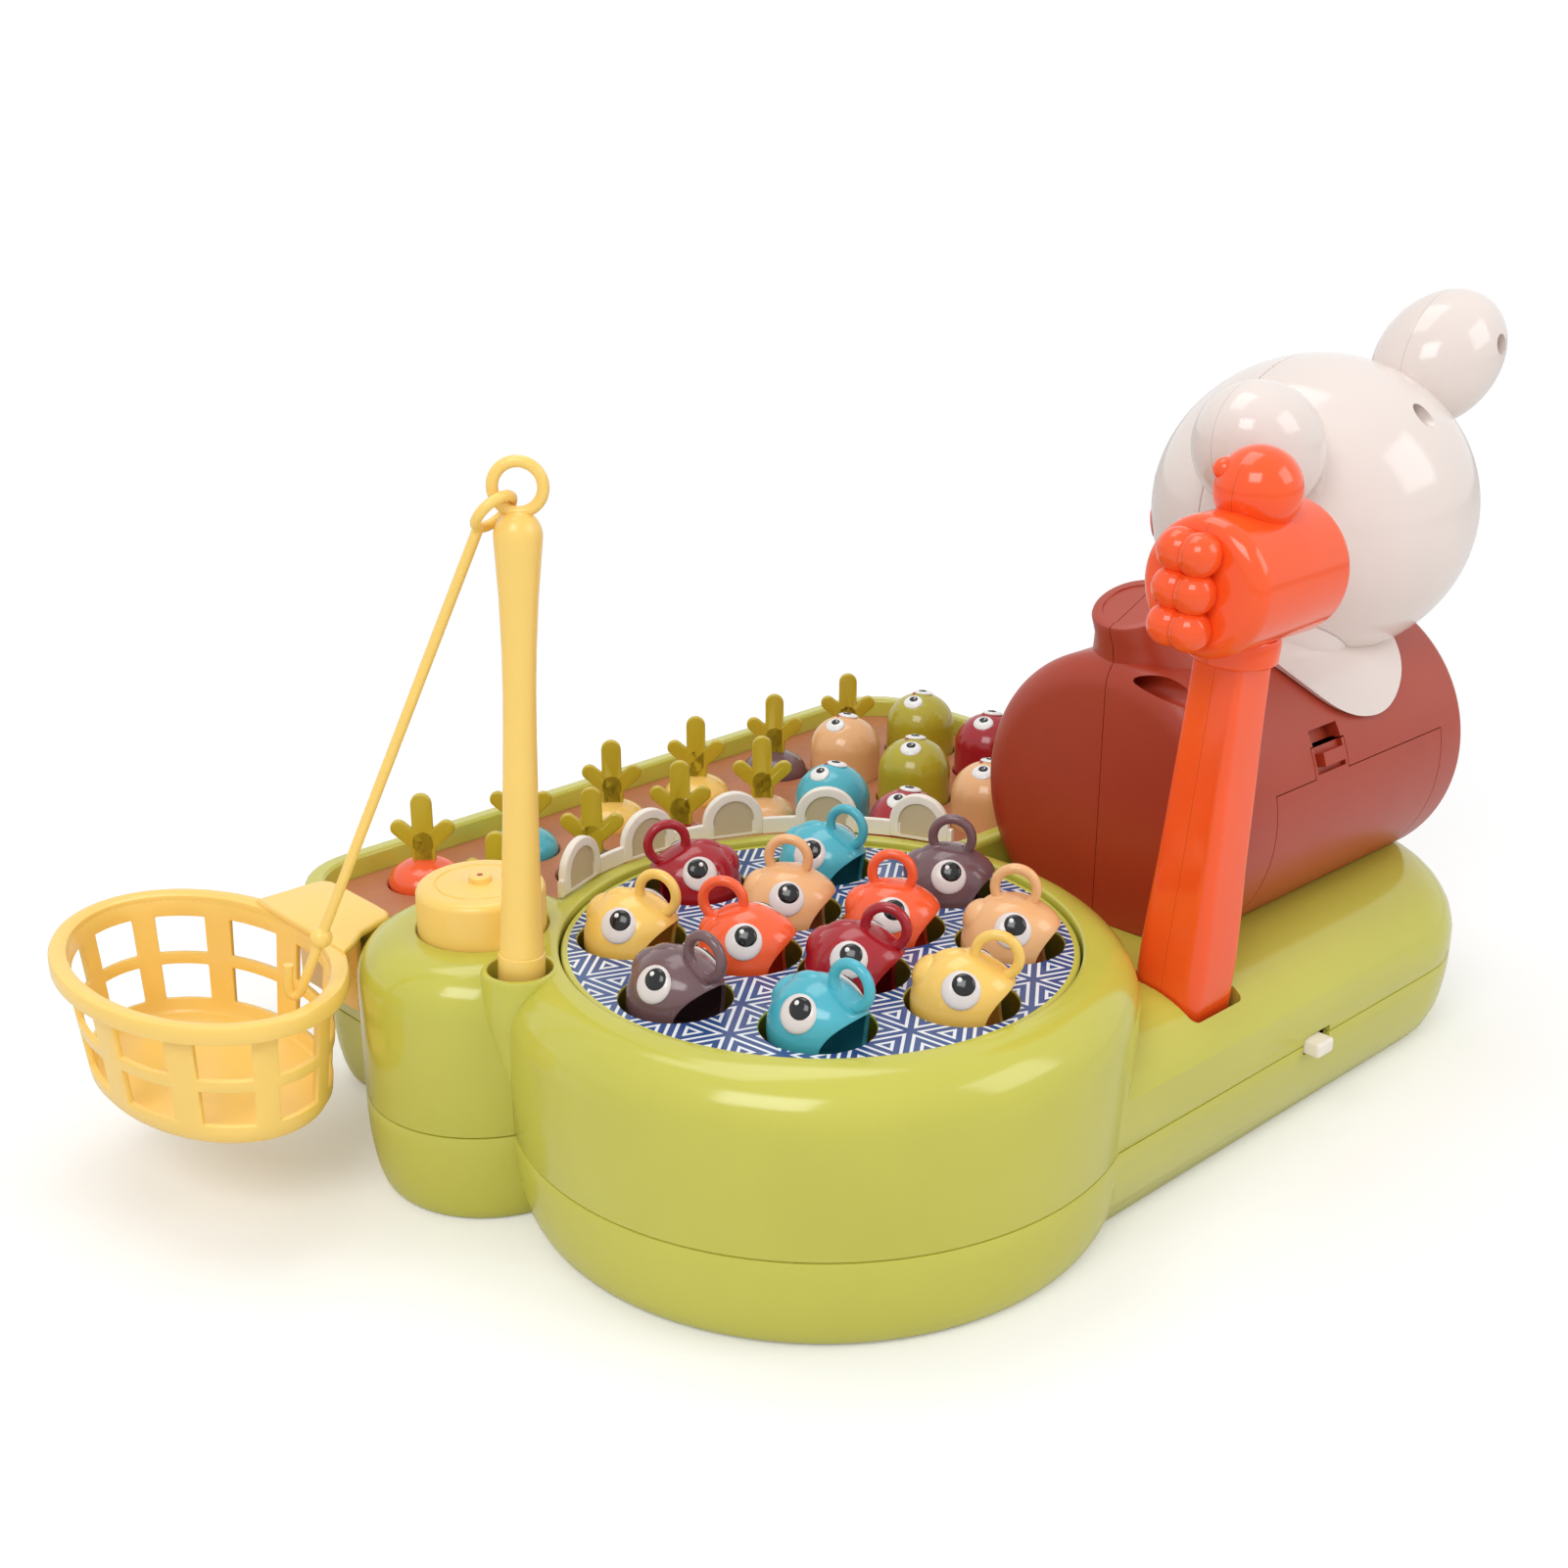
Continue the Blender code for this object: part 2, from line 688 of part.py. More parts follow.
def base_lower_shell():
    """Lower half of the base: a hollow pan with posts for what stands in it."""
    lobe = at(*LOBE_CENTRE)
    pan = turned("base_lower_shell", foot_profile(POOL_FOOT_R, POOL_PARTING_R, 0, LOWER_TOP_Z), POOL_SIDES)
    join(
        pan,
        turned("lobe_foot", foot_profile(LOBE_FOOT_R, LOBE_R, 0, LOWER_TOP_Z), LOBE_SIDES, lobe),
        slab("tray_foot", TRAY_CORNERS, foot_levels(TRAY_LEAN, TRAY_FOOT_LEAN, 0, LOWER_TOP_Z)),
        slab("arm_foot", ARM_CORNERS, foot_levels(0, ARM_FOOT_ROUND, 0, LOWER_TOP_Z)),
    )
    top = LOWER_TOP_Z + OVERRUN
    room = turned("pool_room", foot_profile(POOL_FOOT_R, POOL_PARTING_R, WALL, top), WELL_SIDES)
    join(
        room,
        turned("lobe_room", foot_profile(LOBE_FOOT_R, LOBE_R, WALL, top), HIDDEN_SIDES, lobe),
        slab("tray_room", TRAY_CORNERS, foot_levels(TRAY_LEAN, TRAY_FOOT_LEAN, WALL, top), HIDDEN_CORNER_STEPS),
        slab("arm_room", ARM_CORNERS, foot_levels(0, ARM_FOOT_ROUND, WALL, top), HIDDEN_CORNER_STEPS),
    )
    cut(pan, room)
    post_top = SPINDLE_LOW_Z - SEAM
    post = [(0, WALL / 2), (BEARING_POST_R, WALL / 2), (BEARING_POST_R, post_top), (0, post_top)]
    join(pan, turned("bearing_post", post, SMALL_SIDES))
    low, high = mole_board_corners()
    head = MOLE_BOARD_TOP_Z - MOLE_BOARD_THICKNESS - SEAM
    stand = [(0, WALL / 2), (POST_R, WALL / 2), (POST_R, head), (0, head)]
    for x in (low[0] + 2 * POST_R, high[0] - 2 * POST_R):
        for y in (low[1] + 2 * POST_R, high[1] - 2 * POST_R):
            join(pan, turned("board_post", stand, TINY_SIDES, at(x, y)))
    cut(pan, switch_window("switch_window"))
    return finish(pan, plastic("green_plastic", GREEN))


def base_upper_shell():
    """Upper half of the base with the pool's well, tray, column, arm, socket and pocket."""
    shell = slab("base_upper_shell", TRAY_CORNERS, tray_levels(UPPER_LOW_Z))
    cut(
        shell,
        slab("bed_recess", TRAY_CORNERS, flat_levels(TRAY_RIM_WIDTH, LEDGE_Z, TRAY_RIM_Z + OVERRUN)),
        slab(
            "bed_way", TRAY_CORNERS,
            flat_levels(TRAY_RIM_WIDTH + BED_LEDGE_WIDTH, UPPER_LOW_Z + OVERRUN, LEDGE_Z + OVERRUN),
        ),
    )
    lobe = at(*LOBE_CENTRE)
    socket = at(*SOCKET_CENTRE)
    spout = [
        (0, SPOUT_LOW_Z), (SPOUT_LOW_R, SPOUT_LOW_Z), (SOCKET_OUTER_R, SOCKET_FLOOR_Z),
        (SOCKET_OUTER_R, SOCKET_TOP_Z), (0, SOCKET_TOP_Z),
    ]
    join(
        shell,
        turned("pool", pool_profile(0, UPPER_LOW_Z), POOL_SIDES),
        turned("lobe", lobe_profile(0, UPPER_LOW_Z), LOBE_SIDES, lobe),
        slab("arm", ARM_CORNERS, arm_levels(0, UPPER_LOW_Z)),
    )
    low = UPPER_LOW_Z - OVERRUN
    room = turned("pool_room", pool_profile(WALL, low, 2), WELL_SIDES)
    join(
        room,
        turned("lobe_room", lobe_profile(WALL, low, 2), HIDDEN_SIDES, lobe),
        slab("arm_room", ARM_CORNERS, arm_levels(WALL, low, 2), HIDDEN_CORNER_STEPS),
        slab(
            "tray_room", TRAY_CORNERS,
            [((TRAY_LEAN + WALL,) * 4, low), ((2 * WALL,) * 4, LEDGE_Z - WALL)], HIDDEN_CORNER_STEPS,
        ),
    )
    cut(shell, room)
    well_wall = WELL_R + WALL
    join(
        shell,
        turned("spout", spout, ROUND_SIDES, socket),
        turned(
            "well",
            [(0, WELL_FLOOR_Z - WALL), (well_wall, WELL_FLOOR_Z - WALL), (well_wall, RING_TOP_Z - WALL / 2),
             (0, RING_TOP_Z - WALL / 2)],
            WELL_SIDES,
        ),
        pocket("hammer_pocket", POCKET_WALL, -POCKET_WALL, ARM_TOP_Z - HAMMER_FOOT[2] - 2 * WALL),
    )
    button_top = LOBE_TOP_Z + OVERRUN
    spindle_hole = SPINDLE_R + SEAM
    floor_cut = WELL_FLOOR_Z - WALL - OVERRUN
    cut(
        shell,
        turned(
            "well_room",
            [(0, WELL_FLOOR_Z), (WELL_R, WELL_FLOOR_Z), (WELL_R, RING_TOP_Z + OVERRUN), (0, RING_TOP_Z + OVERRUN)],
            WELL_SIDES,
        ),
        turned(
            "spindle_hole",
            [(0, floor_cut), (spindle_hole, floor_cut), (spindle_hole, WELL_FLOOR_Z + OVERRUN),
             (0, WELL_FLOOR_Z + OVERRUN)],
            ROUND_SIDES,
        ),
        turned(
            "button_hole",
            [(0, LOBE_TOP_Z - 2 * WALL), (BUTTON_HOLE_R, LOBE_TOP_Z - 2 * WALL), (BUTTON_HOLE_R, button_top),
             (0, button_top)],
            LOBE_SIDES, lobe,
        ),
        turned(
            "socket_hole",
            [(0, SOCKET_FLOOR_Z), (SOCKET_HOLE_R, SOCKET_FLOOR_Z), (SOCKET_HOLE_R, SOCKET_TOP_Z + OVERRUN),
             (0, SOCKET_TOP_Z + OVERRUN)],
            HIDDEN_SIDES, socket,
        ),
        pocket("hammer_room", 0, -SEAM, HANDLE_MID_Z),
        switch_window("switch_window"),
    )
    return finish(shell, plastic("green_plastic", GREEN))


def mole_places():
    """Names, colours and centres of the eight moles: two rows of three and one pair."""
    x, y = MOLE_CENTRE
    return [
        ("mole_back_middle", PEACH, x, y + MOLE_PITCH_Y),
        ("mole_back_right", OLIVE, x + MOLE_PITCH_X, y + MOLE_PITCH_Y),
        ("mole_left", TEAL, x - MOLE_PITCH_X, y),
        ("mole_middle", OLIVE, x, y),
        ("mole_right", CRIMSON, x + MOLE_PITCH_X, y),
        ("mole_front_left", CRIMSON, x - MOLE_PITCH_X, y - MOLE_PITCH_Y),
        ("mole_front_middle", PEACH, x, y - MOLE_PITCH_Y),
        ("mole_front_right", TEAL, x + MOLE_PITCH_X, y - MOLE_PITCH_Y),
    ]


def carrot_places():
    """Names, colours, centres and depths of the ten carrots in their two rows."""
    places = []
    back = (ORANGE, TEAL, SAND, SAND, PLUM, CRIMSON)
    for i in range(CARROT_BACK_COUNT):
        x = CARROT_BACK_START[0] + CARROT_BACK_PITCH * i
        places.append((f"carrot_back_{i + 1}", back[i], x, CARROT_BACK_START[1], 0))
    front = (TEAL, PLUM, CRIMSON, PEACH)
    for i in range(CARROT_FRONT_COUNT):
        x = CARROT_FRONT_START[0] + CARROT_FRONT_PITCH * i
        sunk = CARROT_SUNK if i == 0 else 0
        places.append((f"carrot_front_{i + 1}", front[i], x, CARROT_FRONT_START[1], sunk))
    return places


def mole_board_corners():
    """Lowest and highest plan corners of the board under the moles."""
    x, y = MOLE_CENTRE
    reach_x = MOLE_PITCH_X + MOLE_BOARD_MARGIN
    reach_y = MOLE_PITCH_Y + MOLE_BOARD_MARGIN
    return (x - reach_x, y - reach_y), (x + reach_x, y + reach_y)


def soil_bed():
    """Soil plate with a way for each mole and a cup for each carrot."""
    low = SOIL_TOP_Z - SOIL_THICKNESS
    plate = slab("soil_bed", TRAY_CORNERS, flat_levels(TRAY_RIM_WIDTH + SEAM, low, SOIL_TOP_Z))
    under = low - OVERRUN
    over = SOIL_TOP_Z + OVERRUN
    pool_r = POOL_R + SEAM
    lobe_r = LOBE_R + SEAM
    cut(
        plate,
        turned("pool_edge", [(0, under), (pool_r, under), (pool_r, over), (0, over)], POOL_SIDES),
        turned("lobe_edge", [(0, under), (lobe_r, under), (lobe_r, over), (0, over)], LOBE_SIDES, at(*LOBE_CENTRE)),
    )
    middle = (low + SOIL_TOP_Z) / 2
    mouth_r = CARROT_R + SEAM
    tip_r = CARROT_TIP_R + SEAM
    for name, _colour, x, y, sunk in carrot_places():
        tip_z = CARROT_TIP_Z - sunk
        cone_top = low - CUP_WALL - sunk
        outer = [
            (0, tip_z - CUP_WALL), (tip_r + CUP_WALL, tip_z - CUP_WALL),
            (mouth_r + CUP_WALL, cone_top), (mouth_r + CUP_WALL, middle), (0, middle),
        ]
        room = [(0, tip_z), (tip_r, tip_z), (mouth_r, cone_top), (mouth_r, over), (0, over)]
        join(plate, turned(f"{name}_cup", outer, CARROT_SIDES, at(x, y)))
        cut(plate, turned(f"{name}_room", room, CARROT_SIDES, at(x, y)))
    hole_r = MOLE_R + SEAM
    for name, _colour, x, y in mole_places():
        hole = [(0, under), (hole_r, under), (hole_r, over), (0, over)]
        cut(plate, turned(f"{name}_way", hole, SMALL_SIDES, at(x, y)))
    return finish(plate, plastic("soil_plastic", SOIL, 0.55))


MOLE_DOME_SHARES = ((1.0, 0.62), (0.87, 0.83), (0.52, 0.96), (0, 1.0))


def mole(name, colour, x, y):
    """Glossy pop-up mole: a domed plunger with a flange under the soil plate."""
    flange_top = SOIL_TOP_Z - SOIL_THICKNESS - SEAM
    flange_low = flange_top - MOLE_FLANGE_HEIGHT
    rise = MOLE_TOP_Z - SOIL_TOP_Z
    stem_r = MOLE_R - SEAM
    profile = [
        (0, MOLE_FOOT_Z), (stem_r, MOLE_FOOT_Z), (stem_r, flange_low), (MOLE_FLANGE_R, flange_low),
        (MOLE_FLANGE_R, flange_top), (MOLE_R, flange_top),
    ]
    profile += [(MOLE_R * r, SOIL_TOP_Z + rise * z) for r, z in MOLE_DOME_SHARES]
    body = turned(name, profile, SMALL_SIDES, at(x, y))
    label = {PEACH: "peach", OLIVE: "olive", TEAL: "teal", CRIMSON: "crimson"}[colour]
    return finish(body, plastic(f"{label}_plastic", colour, 0.15), (x, y, SOIL_TOP_Z))


CARROT_BODY_SHARES = ((0.93, 0.57), (1.0, 0.76), (0.84, 0.92), (0.42, 1.0), (0, 1.0))
LEAF_SHARES = (
    (0.118, -0.118), (0.118, 0.145), (0.390, 0.396), (0.416, 0.486), (0.341, 0.557), (0.253, 0.545),
    (0.118, 0.424), (0.118, 0.886), (0.059, 0.980), (-0.059, 0.980), (-0.118, 0.886), (-0.118, 0.424),
    (-0.253, 0.545), (-0.341, 0.557), (-0.416, 0.486), (-0.390, 0.396), (-0.118, 0.145),
    (-0.118, -0.118),
)
LEAF_FACING_DEG = -43


def carrot(name, colour, x, y, sunk):
    """Carrot with its flat leaf, standing in its cup."""
    tip = CARROT_TIP_Z - sunk + SEAM
    height = CARROT_CROWN_Z - sunk - tip
    profile = [(0, tip), (CARROT_TIP_R, tip)]
    profile += [(CARROT_R * r, tip + height * z) for r, z in CARROT_BODY_SHARES]
    body = turned(name, profile, CARROT_SIDES, at(x, y))
    outline = [(LEAF_HEIGHT * across, LEAF_HEIGHT * up) for across, up in LEAF_SHARES]
    stand = Matrix.Translation((x, y, tip + height)) @ Matrix.Rotation(math.radians(LEAF_FACING_DEG), 4, "Z")
    upright = stand @ Matrix.Rotation(math.radians(90), 4, "X")
    join(body, prism(f"{name}_leaf", outline, -LEAF_THICKNESS / 2, LEAF_THICKNESS / 2, upright))
    label = {ORANGE: "orange", TEAL: "teal", SAND: "sand", PLUM: "plum", CRIMSON: "crimson", PEACH: "peach"}[colour]
    return finish(body, plastic(f"{label}_plastic", colour, 0.25), (x, y, SOIL_TOP_Z))


def mole_switch_board():
    """Board under the moles with one push switch below each."""
    low, high = mole_board_corners()
    board_low = MOLE_BOARD_TOP_Z - MOLE_BOARD_THICKNESS
    board = box("mole_switch_board", (*low, board_low), (*high, MOLE_BOARD_TOP_Z))
    top = MOLE_FOOT_Z - MOLE_PRESS - SEAM
    stud = [(0, board_low + SEAM), (MOLE_SWITCH_R, board_low + SEAM), (MOLE_SWITCH_R, top), (0, top)]
    for name, _colour, x, y in mole_places():
        join(board, turned(f"{name}_switch", stud, TINY_SIDES, at(x, y)))
    return finish(board, plastic("board", BOARD_GREEN, 0.5))


FISH_PLACES = (
    ("fish_plum_right", PLUM, FISH_OUTER_ORBIT, 0, -58, LOOP_OUT_TOP, LOOP_UP_HIGH),
    ("fish_teal_back", TEAL, FISH_OUTER_ORBIT, 45, -78, LOOP_OUT_BROW, LOOP_UP_MID),
    ("fish_crimson_back", CRIMSON, FISH_OUTER_ORBIT, 90, 157, LOOP_OUT_BROW, LOOP_UP_MID),
    ("fish_sand_left", SAND, FISH_OUTER_ORBIT, 135, -70, LOOP_OUT_BROW, LOOP_UP_MID),
    ("fish_plum_left", PLUM, FISH_OUTER_ORBIT, 180, -85, LOOP_OUT_NOSE, LOOP_UP_MID),
    ("fish_teal_front", TEAL, FISH_OUTER_ORBIT, -135, -85, LOOP_OUT_NOSE, LOOP_UP_MID),
    ("fish_sand_front", SAND, FISH_OUTER_ORBIT, -90, -62, LOOP_OUT_BROW, LOOP_UP_LOW),
    ("fish_peach_right", PEACH, FISH_OUTER_ORBIT, -45, -58, LOOP_OUT_TOP, LOOP_UP_HIGH),
    ("fish_orange_right", ORANGE, FISH_INNER_ORBIT, -20, -58, 0, LOOP_UP_HIGH),
    ("fish_peach_back", PEACH, FISH_INNER_ORBIT, 70, -58, 0, LOOP_UP_HIGH),
    ("fish_orange_left", ORANGE, FISH_INNER_ORBIT, 160, -58, LOOP_OUT_TAIL, LOOP_UP_MID),
    ("fish_crimson_front", CRIMSON, FISH_INNER_ORBIT, -110, -65, LOOP_OUT_BROW, LOOP_UP_LOW),
)
FISH_SIDES = 13
POCKET_SIDES = 14
FISH_RINGS = 5


def fish_frame(orbit, place_deg, heading_deg):
    """Placement of a fish: its floor on the pocket's floor, its mouth along local X."""
    angle = math.radians(place_deg)
    centre = (orbit * math.cos(angle), orbit * math.sin(angle), FISH_FLOOR_Z)
    return Matrix.Translation(centre) @ Matrix.Rotation(math.radians(heading_deg), 4, "Z")


def oval(half_x, half_y, sides):
    """Plan outline of an ellipse."""
    return arc((0, 0), (half_x, half_y), 0, 360, sides)[:-1]


def pool_disc():
    """Turntable with twelve round pockets and the spindle that drives it."""
    under = WELL_FLOOR_Z + DISC_LIFT
    profile = [
        (0, SPINDLE_LOW_Z), (SPINDLE_R, SPINDLE_LOW_Z), (SPINDLE_R, under), (DISC_R, under),
        (DISC_R, DISC_TOP_Z), (0, DISC_TOP_Z),
    ]
    disc = turned("pool_disc", profile, POOL_SIDES)
    outline = oval(FISH_HALF_LENGTH + FISH_PLAY, FISH_HALF_LENGTH + FISH_PLAY, POCKET_SIDES)
    for name, _colour, orbit, place_deg, heading_deg, _out, _up in FISH_PLACES:
        low = -SEAM
        high = DISC_TOP_Z - FISH_FLOOR_Z + OVERRUN
        cut(disc, prism(f"{name}_pocket", outline, low, high, fish_frame(orbit, place_deg, heading_deg)))
    return finish(disc, plastic("print_blue", NAVY, 0.4))


def fish(name, colour, orbit, place_deg, heading_deg, loop_out, loop_up, parent):
    """Fish with its open mouth and the loop that the hook catches."""
    frame = fish_frame(orbit, place_deg, heading_deg)
    height = FISH_TOP_Z - FISH_FLOOR_Z
    belly = height * FISH_BELLY_SHARE
    bm = bmesh.new()
    bmesh.ops.create_uvsphere(bm, u_segments=FISH_SIDES, v_segments=FISH_RINGS, radius=1)
    for vert in bm.verts:
        reach = belly if vert.co.z < 0 else height - belly
        vert.co = (vert.co.x * FISH_HALF_LENGTH, vert.co.y * FISH_HALF_WIDTH, belly + vert.co.z * reach)
    bmesh.ops.transform(bm, matrix=frame, verts=bm.verts)
    body = to_object(name, bm)
    loop_at = Matrix.Translation((loop_out, 0, DISC_TOP_Z - FISH_FLOOR_Z + loop_up))
    loop = frame @ loop_at @ Matrix.Rotation(math.radians(90), 4, "X")
    join(body, hoop(f"{name}_loop", loop, FISH_LOOP_R, FISH_LOOP_TUBE_R, 8, 4))
    mouth = frame @ Matrix.Translation((FISH_HALF_LENGTH, 0, MOUTH_Z - FISH_FLOOR_Z))
    cut(body, ball(f"{name}_mouth", (0, 0, 0), (MOUTH_REACH, MOUTH_R, MOUTH_R), TINY_SIDES, 4, mouth))
    label = {
        PLUM: "plum", TEAL: "teal", CRIMSON: "crimson", SAND: "sand", PEACH: "peach", ORANGE: "orange",
    }[colour]
    return finish(body, plastic(f"{label}_plastic", colour, 0.25), frame.translation, parent)


GEAR_TIP_SHARE = 0.85
GEAR_ROOT_SHARE = 1.2
TOOTH_TIP_SHARE = 0.5
TOOTH_ROOT_SHARE = 1.3


def gear_outline(teeth, first_deg):
    """Outline of a spur gear with straight-sided teeth, the first one centred on an angle."""
    pitch_r = GEAR_MODULE * teeth / 2
    tip_r = pitch_r + GEAR_MODULE * GEAR_TIP_SHARE - GEAR_BACKLASH
    root_r = pitch_r - GEAR_MODULE * GEAR_ROOT_SHARE
    half = math.pi / teeth / 2
    points = []
    for tooth in range(teeth):
        centre = math.radians(first_deg) + math.tau * tooth / teeth
        for radius, offset in (
            (root_r, -half * TOOTH_ROOT_SHARE), (tip_r, -half * TOOTH_TIP_SHARE),
            (tip_r, half * TOOTH_TIP_SHARE), (root_r, half * TOOTH_ROOT_SHARE),
        ):
            points.append((radius * math.cos(centre + offset), radius * math.sin(centre + offset)))
    return points


def pinion_x():
    """Distance of the pinion's axis from the spindle's."""
    return GEAR_MODULE * (GEAR_TEETH + PINION_TEETH) / 2


def gear(name, teeth, first_deg, bore_r, x, parent=None):
    """Spur gear with a round bore."""
    top = GEAR_LOW_Z + GEAR_WIDTH
    wheel = prism(name, gear_outline(teeth, first_deg), GEAR_LOW_Z, top, at(x, 0))
    bore = [(0, GEAR_LOW_Z - OVERRUN), (bore_r, GEAR_LOW_Z - OVERRUN), (bore_r, top + OVERRUN), (0, top + OVERRUN)]
    cut(wheel, turned(f"{name}_bore", bore, ROUND_SIDES, at(x, 0)))
    return finish(wheel, plastic("gear_plastic", IVORY, 0.4), (x, 0, GEAR_LOW_Z), parent)


def drive_motor():
    """Small motor on the floor of the base with its shaft up through the pinion."""
    top = GEAR_LOW_Z + GEAR_WIDTH
    profile = [
        (0, WALL + SEAM), (MOTOR_R, WALL + SEAM), (MOTOR_R, MOTOR_TOP_Z), (MOTOR_SHAFT_R, MOTOR_TOP_Z),
        (MOTOR_SHAFT_R, top), (0, top),
    ]
    return finish(turned("drive_motor", profile, SMALL_SIDES, at(pinion_x(), 0)), plastic("steel", STEEL, 0.35, 1.0))


SPEAKER_SHARES = ((0, 0), (0.65, 0), (0.65, 0.5), (1.0, 0.85), (1.0, 1.0), (0.85, 1.0), (0.3, 0.55), (0, 0.55))


def speaker():
    """Loudspeaker with its magnet down on the floor of the base."""
    floor = WALL + SEAM
    profile = [(SPEAKER_R * r, floor + SPEAKER_HEIGHT * z) for r, z in SPEAKER_SHARES]
    return finish(turned("speaker", profile, ROUND_SIDES, at(*SPEAKER_CENTRE)), plastic("grey", GREY, 0.5))


def circuit_board():
    """Sound and drive board with one chip, flat on the floor of the base."""
    x, y = BOARD_CENTRE
    low = WALL + SEAM
    top = low + BOARD_THICKNESS
    half_x, half_y = BOARD_HALF
    board = box("circuit_board", (x - half_x, y - half_y, low), (x + half_x, y + half_y, top))
    chip = box("chip", (x - CHIP_HALF, y - CHIP_HALF, low + SEAM), (x + CHIP_HALF, y + CHIP_HALF, top + CHIP_HEIGHT))
    join(board, chip)
    return finish(board, plastic("board", BOARD_GREEN, 0.5))


def drum_button():
    """Domed drum button that is pressed down into the column."""
    flange_top = LOBE_TOP_Z - WALL - SEAM
    flange_low = flange_top - BUTTON_FLANGE_HEIGHT
    crown = arc((BUTTON_R - BUTTON_ROUND, BUTTON_TOP_Z - BUTTON_ROUND), (BUTTON_ROUND, BUTTON_ROUND), 0, 90, 3)
    roof = BUTTON_TOP_Z - BUTTON_WALL
    inner_r = BUTTON_R - BUTTON_WALL
    profile = [
        (0, roof), (inner_r, roof), (inner_r, flange_low), (BUTTON_FLANGE_R, flange_low),
        (BUTTON_FLANGE_R, flange_top), (BUTTON_R, flange_top), *crown,
        (BUTTON_KNOB_R, BUTTON_TOP_Z), (BUTTON_KNOB_R, BUTTON_TOP_Z + BUTTON_KNOB_HEIGHT),
        (0, BUTTON_TOP_Z + BUTTON_KNOB_HEIGHT),
    ]
    cap = turned("drum_button", profile, ROUND_SIDES, at(*LOBE_CENTRE))
    return finish(cap, plastic("yellow_plastic", YELLOW), (*LOBE_CENTRE, LOBE_TOP_Z))


def rod_axis():
    """Direction of the leaning rod."""
    return Vector((*ROD_LEAN, 1)).normalized()


def rod_foot():
    """Centre of the rod's foot on the socket's floor."""
    floor = SOCKET_FLOOR_Z + ROD_FOOT_R * math.hypot(*ROD_LEAN) + SEAM
    return Vector((*SOCKET_CENTRE, floor))


def ring_centre():
    """Centre of the ring on the rod's head."""
    return rod_foot() + rod_axis() * (ROD_TOP_S + ROD_RING_LIFT)


def line_plane():
    """Unit vectors of the upright plane of the fishing line: outwards, and square to the plane."""
    out = Vector(LINE_KNOB_AT) - ring_centre()
    out.z = 0
    out.normalize()
    return out, Vector((-out.y, out.x, 0))


ROD_HEAD_SHARES = ((1.0, 0.0), (0.93, 0.4), (0.68, 0.8), (0.34, 1.0))


def rod():
    """Tapered fishing rod with a collar and the ring on its head."""
    head = [(ROD_HEAD_R * r, ROD_HEAD_S + (ROD_TOP_S - ROD_HEAD_S) * s) for r, s in ROD_HEAD_SHARES]
    collar_top = ROD_COLLAR_S + ROD_COLLAR_HEIGHT
    profile = [
        (0, 0), (ROD_FOOT_R, 0), (ROD_GRIP_R, ROD_COLLAR_S), (ROD_COLLAR_R, ROD_COLLAR_S),
        (ROD_COLLAR_R, collar_top), (ROD_FOOT_R, collar_top), (ROD_NECK_R, ROD_NECK_S), *head, (0, ROD_TOP_S),
    ]
    stick = turned("rod", profile, SMALL_SIDES, facing(rod_axis(), rod_foot()))
    normal = line_plane()[1]
    join(stick, hoop("rod_ring", facing(normal, ring_centre()), ROD_RING_R, ROD_RING_TUBE_R, 16, 6))
    return finish(stick, plastic("yellow_plastic", YELLOW), rod_foot())


def fishing_line(parent):
    """Stiff line of one moulding: a link through the rod's ring, a bar, a knob and the hook."""
    out, normal = line_plane()
    down = Vector((0, 0, -1))
    angle = math.radians(LINE_LINK_DEG)
    way = out * math.sin(angle) + down * math.cos(angle)
    across = out * math.cos(angle) - down * math.sin(angle)
    twist = math.radians(LINE_LINK_TWIST_DEG)
    side = normal * math.cos(twist) + across * math.sin(twist)
    centre = ring_centre() + way * LINE_LINK_DROP
    line = hoop("fishing_line", facing(way.cross(side), centre), LINE_LINK_R, LINE_LINK_TUBE_R, 14, 6)
    knob = Vector(LINE_KNOB_AT)
    bar_start = centre + way * LINE_LINK_R
    join(
        line,
        tube("bar", [bar_start, bar_start.lerp(knob, 0.5), knob], LINE_BAR_R),
        ball("knob", knob, (LINE_KNOB_R, LINE_KNOB_R, LINE_KNOB_R), TINY_SIDES, 6),
        tube("hook", [knob + out * (HOOK_DROP * a) - down * (HOOK_DROP * b) for a, b in HOOK_SHARES], HOOK_WIRE_R),
    )
    return finish(line, plastic("yellow_plastic", YELLOW), ring_centre(), parent)


